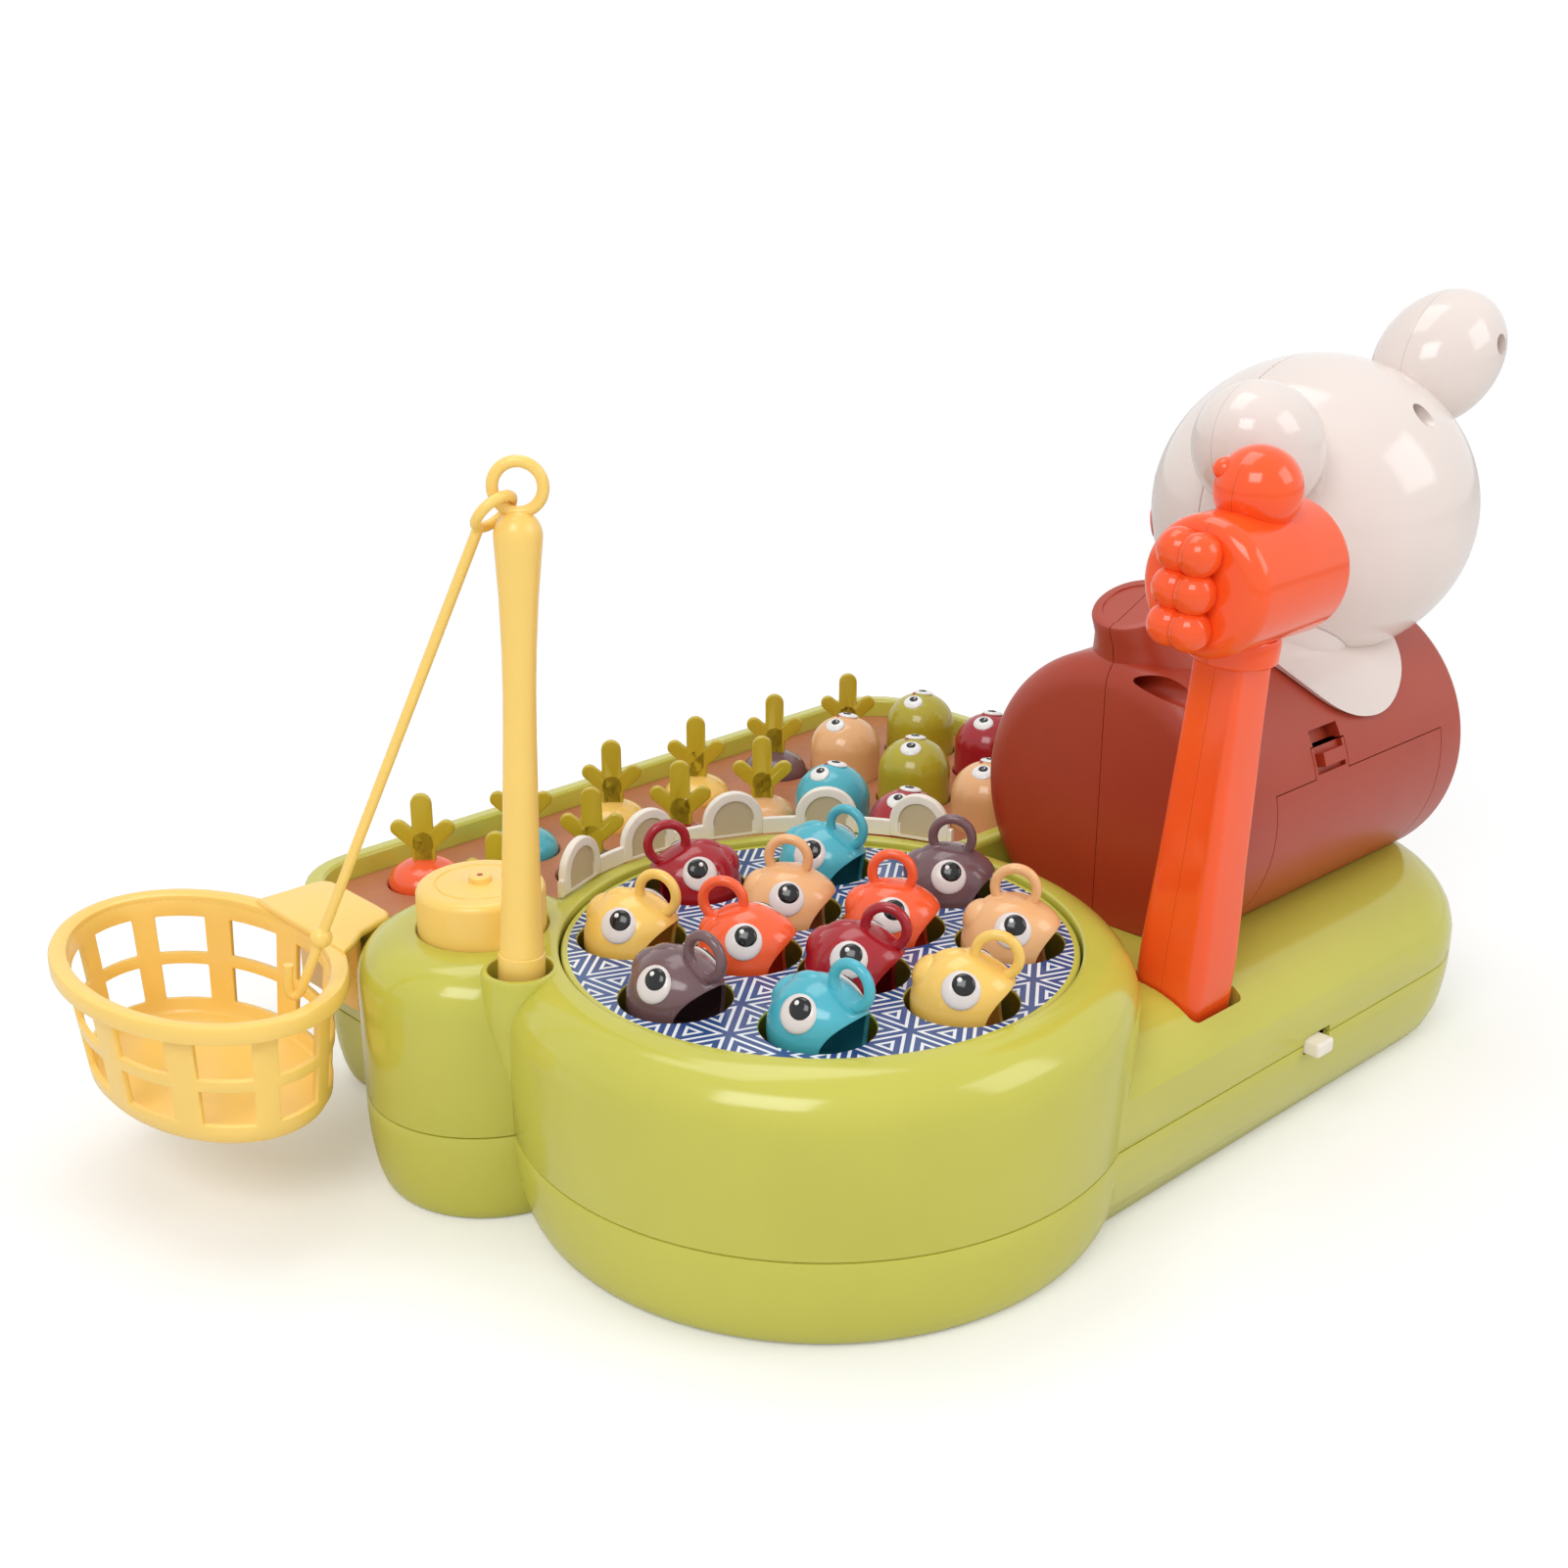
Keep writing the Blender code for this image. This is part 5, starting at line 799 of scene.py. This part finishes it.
def fish_piece(name, label, orbit, place_deg, heading_deg, loop_out, loop_up):
    """Hollow fish with an open mouth, a hump at the back, a loop and bulging eyes, each pupil with a painted
    highlight.
    """
    place = fish_place(orbit, place_deg, heading_deg)
    bm = bmesh.new()
    bmesh.ops.create_uvsphere(bm, u_segments=56, v_segments=40, radius=1)
    bmesh.ops.scale(bm, vec=FISH_RADII, verts=bm.verts)
    bmesh.ops.translate(bm, vec=(0, 0, FISH_LOW), verts=bm.verts)
    for vert in bm.verts:
        if vert.co.x > 0:
            vert.co.x *= 1 + 0.2 * math.exp(-((vert.co.z - 10) / 6) ** 2)
    for vert in bm.verts:
        vert.co.x -= mouth(vert.co)
    bmesh.ops.bisect_plane(
        bm, geom=bm.verts[:] + bm.edges[:] + bm.faces[:], dist=0.001, plane_co=(0, 0, 0), plane_no=(1, 0, 0),
        clear_outer=True,
    )
    for vert in bm.verts:
        vert.co.x += mouth(vert.co)
    for vert in bm.verts:
        vert.co.z = max(vert.co.z, -13.6)
    body = walled(shape("body", bm, place), 1.3, -1, 0.45, 3, 50)
    skin = TOY_SKINS[label]
    hump = ball("hump", (-9.2, 0, 6.6), (6.6, 7.6, 7.0), None, 28, 18)
    ridge = ball("ridge", (-4.0, 0, 12.2), (7.0, 4.2, 4.4), turn_y(-20), 28, 16)
    parts = [(body, skin), (placed(hump, place), skin), (placed(ridge, place), skin)]
    loop = place @ move(loop_out, 0, loop_up) @ turn_x(90)
    parts.append((torus("loop", 6.8, 1.7, loop), skin))
    rise = math.radians(36)
    for side in (-1, 1):
        way = math.radians(80 * side)
        normal = Vector((math.cos(rise) * math.cos(way), math.cos(rise) * math.sin(way), math.sin(rise)))
        seat = Vector([part * (radius - 0.5) for part, radius in zip(normal, FISH_RADII)])
        out = Vector([part / radius ** 2 for part, radius in zip(seat, FISH_RADII)]).normalized()
        eye = place @ facing(out, seat + Vector((0, 0, FISH_LOW)))
        parts.append((ball_at("white", eye, (6.0, 6.0, 1.6)), RING_SKIN))
        parts.append((ball_at("pupil", eye @ move(-0.6 * side, 1.3, 0.8), (3.8, 3.8, 1.3)), PUPIL_SKIN))
        # a small white dot on each pupil: a painted highlight
        parts.append((ball_at("painted_glint", eye @ move(0.5 * side, 2.9, 1.8), (0.8, 0.8, 0.4)), EYE_WHITE_AND_GLINT_SKIN))
    return finished(name + "_piece", name, [name], label, *parts)


def ball_at(name, place, radii):
    """Small flattened ball in a placement, for marks on a face."""
    bm = bmesh.new()
    bmesh.ops.create_uvsphere(bm, u_segments=24, v_segments=14, radius=1)
    return shape(name, bm, place @ Matrix.Diagonal((*radii, 1)))


# Bed

def mole_piece(name, label, x, y, turn):
    """Domed mole that looks up and to the back, with two eyes, each with a painted highlight dot, and a small
    nose.
    """
    profile = [(0, 60), (13.4, 60), (13.7, 60.3), (13.7, 66), (15.8, 66.2), (15.8, 68.6), (14.9, 68.7)]
    profile += arc((0, 83.6), (14.9, 13.9), 0, 90, 18)
    skin = TOY_SKINS[label]
    parts = [(lathe("body", profile, 56, move(x, y)), skin)]
    for heading, lift in ((188, 58), (12, 79)):
        eye = move(x, y, 84) @ turn_z(heading + turn) @ turn_y(90 - lift) @ move(0, 0, 13.45)
        parts.append((ball_at("white", eye, (3.8, 4.4, 1.2)), EYE_WHITE_AND_GLINT_SKIN))
        parts.append((ball_at("pupil", eye @ move(-0.9, 0, 0.75), (1.8, 2.1, 0.75)), PUPIL_SKIN))
        # a small white dot on each pupil: a painted highlight
        parts.append((ball_at("painted_glint", eye @ move(-1.4, 0.5, 1.35), (0.4, 0.4, 0.25)), EYE_WHITE_AND_GLINT_SKIN))
    nose = move(x, y, 84) @ turn_z(101 + turn) @ turn_y(90 - 76) @ move(0, 0, 13.3)
    parts.append((ball_at("nose", nose, (1.0, 1.5, 0.9)), NOSE_SKIN))
    return finished(name + "_piece", name, [name], label, *parts)


def capsule(start, end, width):
    """Outline of a round-ended bar between two points."""
    along = Vector(end) - Vector(start)
    heading = math.degrees(math.atan2(along.y, along.x))
    first = arc(start, (width, width), heading + 90, heading + 270, 8)
    second = arc(end, (width, width), heading - 90, heading + 90, 8)
    return first + second


def carrot_piece(name, label, x, y, sunk):
    """Onion-shaped crown and a flat leaf of three fingers."""
    tip = 52.3 - sunk
    top = 81 - sunk
    height = top - tip
    profile = [(0, tip), (3.4, tip), (3.6, tip + 0.3), (11.2, tip + height * 0.57)]
    profile += arc((0, tip + height * 0.70), (13.7, height * 0.30), -10, 84, 14)
    profile += [(0.6, top - 0.5), (0, top - 0.5)]
    body = lathe("crown", profile, 48, move(x, y))
    stand = move(x, y, top) @ turn_z(-43) @ turn_x(90)
    bars = [
        ((0, -3), (0, 21.8), 3.9), ((0, 4.5), (-8.8, 12.2), 3.1), ((0, 4.5), (8.8, 12.2), 3.1),
        ((0, 1), (0, 7), 4.5),
    ]
    leaf, *fingers = [plate("bar", capsule(*bar), -1.3, 1.3, 0.7, stand) for bar in bars]
    join(leaf, *fingers)
    return finished(name + "_piece", name, [name], label, (body, TOY_SKINS[label]), (leaf, LEAF_SKIN))


# Button, rod and basket

def button_piece():
    """Drum button with a groove round its top and a knob in the middle."""
    profile = [
        (0, 103), (19.3, 103), (19.3, 85.3), (23.2, 85.3), (23.2, 87.1), (21.3, 87.1),
        *arc((18.3, 102), (3.0, 3.0), 0, 90, 8), (15.2, 105), (15.0, 104.6), (14.4, 104.6), (14.2, 105),
        (4.6, 105), (3.9, 105.3), (3.7, 107.0), (3.2, 107.4), (0, 107.4),
    ]
    cap = lathe("cap", profile, 96, LOBE)
    dot = cylinder("dot", 1.0, 107.3, 107.5, 24, LOBE)
    parts = ((cap, YELLOW_SKIN), (dot, BROWN_SKIN))
    return finished("drum_button_piece", "button", ["drum_button"], "yellow", *parts, smooth=34)


ROD_LEAN = (0.028, -0.0265)
ROD_WAY = Vector((*ROD_LEAN, 1)).normalized()
ROD_FOOT = Vector((-87, 46, 75.8 + 6.4 * math.hypot(*ROD_LEAN)))
RING_AT = ROD_FOOT + ROD_WAY * 166.6
KNOB_AT = Vector((-132, 88.2, 100.6))
OUT = Vector((KNOB_AT.x - RING_AT.x, KNOB_AT.y - RING_AT.y, 0)).normalized()
SIDE = Vector((-OUT.y, OUT.x, 0))


def rod_piece():
    """Leaning rod that thins and swells, with a ring on its head."""
    profile = [
        (0, 0), (7.3, 0), (7.8, 0.5), (7.35, 19.2), (6.95, 19.5), (6.95, 19.9), (7.0, 20.2), (6.9, 20.6),
        (6.5, 30), (6.1, 40), (5.5, 66), (5.1, 90), (5.0, 104), (5.2, 118), (5.9, 134), (6.8, 146),
        (7.25, 152), *arc((0, 152), (7.25, 8.0), 8, 90, 12),
    ]
    stick = lathe("stick", profile, 48, facing(ROD_WAY, ROD_FOOT))
    ring = torus("ring", 7.4, 1.8, facing(SIDE, RING_AT), 56)
    parts = [(stick, YELLOW_SKIN), (ring, YELLOW_SKIN)]
    return finished("rod_piece", "rod", ["rod"], "yellow", *parts, smooth=50)


def line_piece():
    """Stiff line: a link through the rod's ring, a bar, a knob and a hook."""
    down = Vector((0, 0, -1))
    angle = math.radians(45)
    way = OUT * math.sin(angle) + down * math.cos(angle)
    across = OUT * math.cos(angle) - down * math.sin(angle)
    twist = math.radians(25)
    side = SIDE * math.cos(twist) + across * math.sin(twist)
    centre = RING_AT + way * 10.2
    link = torus("link", 6.6, 1.6, facing(way.cross(side), centre), 48)
    start = centre + way * 6.6
    bar = wire("bar", [start, start.lerp(KNOB_AT, 0.5), KNOB_AT], 1.65)
    knob = ball("knob", KNOB_AT, (3.5, 3.5, 3.5))
    shares = ((0, 0), (0.17, -0.40), (0.32, -0.74), (0.40, -0.94), (0.51, -1.0), (0.59, -0.88), (0.54, -0.46))
    hook = wire("hook", [KNOB_AT + OUT * (20.5 * a) - down * (20.5 * b) for a, b in shares], 1.6)
    parts = [(part, YELLOW_SKIN) for part in (link, bar, knob, hook)]
    return finished("line_piece", "line", ["fishing_line"], "yellow", *parts, smooth=60)


BASKET_AT = (-147.8, 143.0)


def basket_ring(half_x, half_y, count, z):
    return [(x, y, z) for x, y in arc(BASKET_AT, (half_x, half_y), 0, 360, count)[:-1]]


def basket_piece():
    """Oval basket: two rows of windows between flat staves, a rolled rim and the clip plate."""
    bays = 10
    shares = (0, 0.05, 0.14, 0.43, 0.53, 0.83, 0.97)
    bm = bmesh.new()
    loops = []
    for share in shares:
        inset = 0 if share else 1.2
        half_x, half_y = 33 + 4.5 * share - inset, 53 + 6.0 * share - inset
        loops.append(loop_of(bm, basket_ring(half_x, half_y, bays * 9, 37 + 44 * share)))
    bands = [bmesh.ops.bridge_loops(bm, edges=low + high)["faces"] for low, high in zip(loops, loops[1:])]
    gone = []
    for face in [*bands[2], *bands[4]]:
        middle = face.calc_center_median()
        angle = math.degrees(math.atan2((middle.y - BASKET_AT[1]) / 58, (middle.x - BASKET_AT[0]) / 36))
        if angle % (360 / bays) > 12:
            gone.append(face)
    bmesh.ops.delete(bm, geom=gone, context="FACES")
    bmesh.ops.contextual_create(bm, geom=loops[0])
    shell = walled(shape("basket_shell", bm), 2.2, 0, 0.5, 2, 40)
    section = (
        (-0.6, 77.4), (1.0, 77.2), (3.4, 75.8), (4.8, 75.9), (5.2, 76.6), (5.2, 80.6), (4.6, 81.6),
        (3.2, 82.0), (1.0, 81.9), (-0.6, 81.0), (-1.2, 79.0),
    )
    bm = bmesh.new()
    loops = [loop_of(bm, basket_ring(37.3 + out, 58.8 + out, 120, z)) for out, z in section]
    for first, second in zip(loops, loops[1:] + loops[:1]):
        bmesh.ops.bridge_loops(bm, edges=first + second)
    rim = shape("rim", bm)
    outline = [
        (-113, 108.5), (-113, 167), *arc((-90.6, 161), (6, 6), 90, 0, 8),
        *arc((-90.6, 128), (6, 6), 0, -90, 8), (-100, 118.6), (-107, 112.4),
    ]
    clip = plate("clip", outline, 80.1, 83.3, 1.4)
    hook = block("hook", (-85.2, 134, 74.3), (-83.4, 158, 82), 0.6)
    skirt = block("skirt", (-98.5, 126, 48), (-96.3, 166, 81), 0.8)
    parts = [(part, YELLOW_SKIN) for part in (shell, rim, clip, hook, skirt)]
    return finished("basket_piece", "basket", ["basket"], "yellow", *parts, smooth=40)


# Hammer, log, rabbit and switch

def hammer_piece():
    """Square handle, collar, lying barrel, and the ball, nub and bumps on it."""
    foot = 13.3
    corner = [(-foot, -foot, 6), (foot, -foot, 6), (foot, foot, 6), (-foot, foot, 6)]
    levels = [(0.8, 0), (0.2, 0.4), (0, 1)]
    taper = ((35, foot), (52, 12.6), (70, 11.6), (90, 10.9), (115, 10.0), (141, 9.3), (168, 9.3))
    for z, half_width in taper:
        levels.append((foot - half_width, z))
    handle = slab("handle", corner, levels, 8)
    band = [(0, 140.4), (13.4, 140.4), (14.3, 141.2), (14.4, 147.8), (13.6, 149.2), (0, 149.2)]
    collar = lathe("collar", band, 56)
    lying = move(-25.5, 0, 167.5) @ turn_y(90)
    barrel = [(0, 0), *arc((16.5, 6), (6, 6), -90, 0, 10), *arc((18.5, 47.9), (4, 4), 0, 90, 8), (0, 51.9)]
    head = lathe("barrel", barrel, 72, lying)
    join(handle, collar, head, ball("ball", (0, 0, 195), (13.9, 13.9, 13.9), None, 48, 32))
    join(handle, ball("nub", (-8.0, 7.6, 200.9), (3.9, 3.9, 3.7), None, 26, 16))
    for step, lift in enumerate((11.8, 0, -11.8)):
        for side in (-1, 1):
            place = (-29.2 - 0.05 * step, 2.2 + side * 3.7, 167.5 + lift + 0.07 * side)
            turn = turn_x(17 + 31 * step + 13 * side) @ turn_y(23 + 11 * side + 7 * step)
            around, along = 34 + 3 * step + side, 21 + 2 * step + side
            join(handle, ball("bump", place, (7.0, 7.0, 7.0), turn, around, along))
    placed(handle, HAMMER_AT)
    return finished("hammer_piece", "hammer", ["hammer"], "hammer_orange", (handle, HAMMER_SKIN), smooth=38)


LOG_R = 56
LOG_SKIN = 2.4
LOG_Y = -20
LOG_Z = 108
LYING = move(0, LOG_Y, LOG_Z) @ turn_y(90)


def log_point(radius, degrees):
    angle = math.radians(degrees)
    return LOG_Y - radius * math.cos(angle), LOG_Z + radius * math.sin(angle)


def log_sector(name, xs, radii, degrees, steps=36):
    """Piece of a tube round the log's axis between two angles above its front side."""
    outline = []
    for radius, (start, end) in ((radii[1], degrees), (radii[0], degrees[::-1])):
        outline += [log_point(radius, start + (end - start) * step / steps) for step in range(steps + 1)]
    swap = Matrix(((0, 0, 1, 0), (1, 0, 0, 0), (0, 1, 0, 0), (0, 0, 0, 1)))
    return plate(name, outline, xs[0], xs[1], 0, swap)


def log_body(wall, sides):
    """Lying log with rounded ends, its skin moved in by a wall."""
    left, right, radius = 119 + wall, 277 - wall, LOG_R - wall
    near = arc((radius - 12, left + 9), (12, 9), -90, 0, 12)
    far = arc((radius - 5, right - 5), (5, 5), 0, 90, 8)
    return lathe("log", [(0, left), *near, *far, (0, right)], sides, LYING)


def half(name, side):
    """Block that keeps the front (-1) or the rear half of the log."""
    split = LOG_Y + side * GAP / 2
    low, high = sorted((split, split + side * 120))
    return block(name, (60, low, 65.3), (340, high, 260))


def log_pieces():
    """Both halves of the log with its stump, and the battery door with its latch."""
    lean = move(133, -20, 181) @ turn_y(-24)
    stump = [
        (0, -34), (26, -34), (21, -24), (17.4, -14), (15.6, -8), (15.4, -1.2), (14.9, -0.3), (14.2, 0),
        (11.5, 0), (11.3, -0.5), (0, -0.5),
    ]
    body = join(log_body(0, 128), lathe("stump", stump, 72, lean))
    cut(body, log_body(LOG_SKIN, 64))
    inside = LOG_R - LOG_SKIN
    skin = (inside - 3, 62)
    opening = log_sector("opening", (146.6, 258.4), skin, (-46.4, 12.9))
    join(opening, log_sector("latch_opening", (171.6, 193.4), skin, (-46.4, 24.6), 44))
    rear = linked(body.copy())
    rear.data = body.data.copy()
    combined(body, half("front_half", -1), "INTERSECT")
    cut(body, opening)
    near, high = log_point(55, 61)
    screw_x = 124.5
    rest = move(screw_x, near + 26, high) @ turn_x(90)
    boss = cylinder("boss", 6.8, 0, 46, 44, rest)
    join(body, combined(boss, log_body(0.3, 96), "INTERSECT"))
    bore = [(0, 0), (4.2, 0), (4.4, 50), (0, 50)]
    cut(body, lathe("screw", bore, 36, move(screw_x, near + 21, high) @ turn_x(90)))
    join(body, log_sector("latch_floor", (172.6, 192.4), (48.6, 54.0), (25.2, 31.5), 12))
    cut(body, log_sector("latch_room", (173.5, 191.5), (50.6, 60), (23.5, 30.5), 12))
    combined(rear, half("rear_half", 1), "INTERSECT")
    door = log_sector("door", (147, 258), (inside, LOG_R), (-46, 12.5))
    join(door, log_sector("latch", (172, 193), (inside, LOG_R), (-46, 23.9), 44))
    cut(door, log_sector("dip", (173.5, 191.5), (54.2, 60), (14.0, 25), 12))
    join(door, log_sector("tab", (176, 189), (53.9, 57.9), (16.5, 21.5), 6))
    for name, rides, node, piece in (
        ("log_front", "base", "log_front_shell", body), ("log_rear", "base", "log_rear_shell", rear),
        ("battery_door_piece", "door", "battery_door", door),
    ):
        finished(name, rides, [node], "brown", (piece, BROWN_SKIN), smooth=34)


HEAD = (238.5, -22.4, 200.5)
HEAD_RADII = (60.5, 60, 57)
HEAD_SPLIT = -12


def head_room():
    """Cutter that keeps ears and body clear of the head."""
    return ball("head", HEAD, [radius + CLEAR for radius in HEAD_RADII], None, 72, 48)


def log_room():
    """Cutter that keeps what sits on the log clear of it."""
    return cylinder("relief", LOG_R + CLEAR, 100, 340, 128, LYING)


def half_head(name, side):
    """Back (-1) or face half of the head, which has an upright seam, with a softened edge there."""
    seam = HEAD_SPLIT + side * GAP / 2
    bm = bmesh.new()
    bmesh.ops.create_uvsphere(bm, u_segments=96, v_segments=64, radius=1)
    bmesh.ops.transform(bm, matrix=move(*HEAD) @ Matrix.Diagonal((*HEAD_RADII, 1)), verts=bm.verts)
    bmesh.ops.bisect_plane(
        bm, geom=bm.verts[:] + bm.edges[:] + bm.faces[:], dist=0.001, plane_co=(0, seam, 0),
        plane_no=(0, -side, 0), clear_outer=True,
    )
    bmesh.ops.holes_fill(bm, edges=bm.edges[:], sides=0)
    rim = [e for e in bm.edges if all(abs(v.co.y - seam) < 0.01 for v in e.verts)]
    bevelled(bm, rim, 0.4, 2, clamp=False)
    return cut(shape(name, bm), log_room())


def bored(body, x, y, z):
    """Body with a screw hole that starts at a point inside it and runs out to the front."""
    return cut(body, cylinder("screw", 3.9, 0, 120, 32, move(x, y, z) @ turn_x(90)))


def eased(points):
    """Closed outline with its corners cut back twice."""
    for _round in range(2):
        points = [
            (a[0] * near + b[0] * (1 - near), a[1] * near + b[1] * (1 - near))
            for a, b in zip(points, points[1:] + points[:1]) for near in (0.75, 0.25)
        ]
    return points


def rabbit_pieces():
    """Head in two halves with eyes, cheeks and nose, two ears, and the body with its bib on the log."""
    skull = bored(half_head("skull", -1), 236, -50, 240)
    face = half_head("face", 1)
    finished("rabbit_skull", "base", ["rabbit_head_back"], "cream", (skull, CREAM_SKIN), smooth=40)
    parts = [(face, CREAM_SKIN)]
    wide, deep, high = HEAD_RADII
    eye, cheek, nose = (4.6, 5.6, 1.6), (7.0, 5.4, 0.9), (3.4, 2.4, 1.6)
    for x, z, radii, skin in (
        (-22, 6, eye, PUPIL_SKIN), (22, 6, eye, PUPIL_SKIN), (-34, -9, cheek, CHEEK_SKIN),
        (34, -9, cheek, CHEEK_SKIN), (0, -4, nose, CHEEK_SKIN),
    ):
        y = deep * math.sqrt(1 - (x / wide) ** 2 - (z / high) ** 2)
        out = Vector((x / wide ** 2, y / deep ** 2, z / high ** 2)).normalized()
        spot = Vector(HEAD) + Vector((x, y, z)) - out * 0.3
        parts.append((ball_at("mark", facing(out, spot), radii), skin))
    finished("rabbit_face", "base", ["rabbit_head_front"], "cream", *parts, smooth=40)
    for name, offset, screw_shift in (
        ("rabbit_ear_left", (-66.4, -17.1, 32.7), (0, -9, -14)),
        ("rabbit_ear_right", (53.2, -15.9, 52.0), (-3.5, -9, -2)),
    ):
        outward = Vector(offset).normalized()
        centre = Vector(HEAD) + Vector(offset)
        rise = Vector((0, 0, 1)).rotation_difference(outward).to_matrix().to_4x4()
        ear = cut(ball("ear", centre, (22.5, 22.5, 29), rise, 64, 40), head_room())
        bored(ear, *(centre + outward * 13 + Vector(screw_shift)))
        seamed = moulded(name + "_skin", CREAM, 0.13, 0.03, seam=(0, 1, 0, (centre.y + 1) * MM))
        finished(name + "_piece", "base", [name], "cream", (ear, seamed), smooth=40)
    body = cut(ball("body", (214, LOG_Y, 165), (30, 36, 34), None, 72, 48), log_room(), head_room())
    outline = [
        (176, 158), (181, 151), (190, 142.2), (200, 137.0), (210, 134.8), (219, 134.6), (228, 137),
        (238, 142.5), (246, 149.5), (252, 158), (252, 172), (176, 172),
    ]
    bib = plate("bib", eased(outline), 20, 90, 0, turn_x(90))
    inner, outer = LOG_R + CLEAR, LOG_R + 2.4
    tube = lathe("tube", [(inner, 160), (outer, 160), (outer, 270), (inner, 270)], 128, LYING, True)
    combined(bib, tube, "INTERSECT")
    parts = [(body, CREAM_SKIN), (bib, CREAM_SKIN)]
    finished("rabbit_body_piece", "base", ["rabbit_body"], "cream", *parts, smooth=40)


def switch_piece():
    knob = block("knob", (145.1, -102, 29.6), (154.9, -91, 35.4), 1.4, 5)
    back = block("back", (142, -92.2, 26.5), (158, -90.6, 38.5), 0.3)
    parts = [(knob, IVORY_SKIN), (back, IVORY_SKIN)]
    return finished("switch_piece", "switch", ["power_switch"], "ivory", *parts)


lower_shell()
upper_shell()
soil_plate()
fence_rail()
turntable()
for entry in FISH:
    fish_piece(*entry)
for entry in MOLES:
    mole_piece(*entry)
for entry in CARROTS:
    carrot_piece(*entry)
button_piece()
rod_piece()
line_piece()
basket_piece()
hammer_piece()
log_pieces()
rabbit_pieces()
switch_piece()

INNER = {
    "turntable_gear": moulded("gear_plastic", linear(228, 224, 214), 0.45),
    "drive_pinion": moulded("pinion_plastic", linear(222, 216, 200), 0.45),
    "drive_motor": metal_finish("motor_can", (0.6, 0.6, 0.58), 0.3),
    "speaker": moulded("speaker_cone", linear(60, 60, 64), 0.6),
    "battery_holder": GREY_SKIN,
    "circuit_board": board_finish(),
    "mole_switch_board": board_finish(),
    "battery_1": cell_finish(),
}
INNER["battery_2"] = INNER["battery_3"] = INNER["battery_1"]
for node_name, skin_material in INNER.items():
    node = frame["nodes"][node_name]
    node.data.materials.clear()
    node.data.materials.append(skin_material)


# Floor, light and camera

FLOOR_MIDDLE = (0.08, 0.03)


def floor():
    """Pale floor that holds the object's shadow and turns white for the camera further out."""
    bm = bmesh.new()
    bmesh.ops.create_grid(bm, x_segments=2, y_segments=2, size=6000)
    plane = shape("floor", bm, move(0, 0, -0.3))
    paint = Paint("floor_white")
    rays = paint.node("ShaderNodeLightPath", None, None, "Is Camera Ray")
    tint = paint.mix(paint.noise(3.0).clamp(0.3, 0.7), linear(238, 238, 238), linear(234, 234, 234))
    matt = {"Base Color": tint, "Roughness": 0.9, "Specular IOR Level": 0.1}
    lit = paint.node("ShaderNodeBsdfPrincipled", None, matt)
    glow = paint.node("ShaderNodeEmission", None, {"Color": (1, 1, 1, 1), "Strength": 0.22})
    both = paint.node("ShaderNodeAddShader", None, {0: lit, 1: glow})
    x, y, _z = paint.axes()
    along, across = x - FLOOR_MIDDLE[0], y - FLOOR_MIDDLE[1]
    away = (along * along + across * across).math("SQRT").clamp(0.36, 0.75)
    blank = paint.node("ShaderNodeEmission", None, {"Color": (1, 1, 1, 1), "Strength": 1.0})
    faded = paint.node("ShaderNodeMixShader", None, {0: away, 1: both, 2: blank})
    shown = paint.node("ShaderNodeMixShader", None, {0: rays, 1: lit, 2: faded})
    paint.node("ShaderNodeOutputMaterial", None, {"Surface": shown})
    plane.data.materials.append(paint.material)


def world():
    """Soft even light; plain white where the camera, a gloss or a clear piece sees it."""
    room = bpy.data.worlds.new("room")
    bpy.context.scene.world = room
    paint = Paint("room", room)
    seen = path = paint.node("ShaderNodeLightPath", None, None, "Is Camera Ray")
    for kind in ("Is Glossy Ray", "Is Transmission Ray"):
        seen = seen.math("MAXIMUM", Value(paint, path.socket.node.outputs[kind]))
    dim, white = [
        paint.node("ShaderNodeBackground", None, {"Color": (1, 1, 1, 1), "Strength": strength})
        for strength in (0.56, 1.0)
    ]
    shader = paint.node("ShaderNodeMixShader", None, {0: seen, 1: dim, 2: white})
    paint.node("ShaderNodeOutputWorld", None, {"Surface": shader})


def softbox(name, place, target, size, power):
    lamp = bpy.data.lights.new(name, "AREA")
    lamp.shape = "RECTANGLE"
    lamp.size, lamp.size_y = size
    lamp.energy = power
    obj = linked(bpy.data.objects.new(name, lamp))
    obj.location = place
    obj.rotation_euler = (Vector(target) - Vector(place)).to_track_quat("-Z", "Y").to_euler()


def camera():
    """Camera fitted to the photograph."""
    data = bpy.data.cameras.new("camera")
    data.lens = 44.188
    data.sensor_width = 36.0
    data.clip_start = 0.01
    data.clip_end = 50
    obj = linked(bpy.data.objects.new("camera", data))
    obj.location = (-0.4036, -0.4103, 0.3515)
    look_down, heading = 20.006, -43.349
    obj.rotation_euler = (math.radians(90 - look_down), 0, math.radians(heading))
    bpy.context.scene.camera = obj


floor()
world()
softbox("key", (-1.3, -0.6, 1.5), (0.05, 0, 0.08), (1.0, 0.8), 14)
softbox("fill", (0.9, -1.5, 1.2), (0.1, 0, 0.1), (1.0, 1.0), 9)
softbox("top", (0.1, 0.5, 1.8), (0.05, 0.05, 0.05), (1.2, 0.8), 8)
camera()
bpy.context.scene.view_settings.view_transform = "Standard"
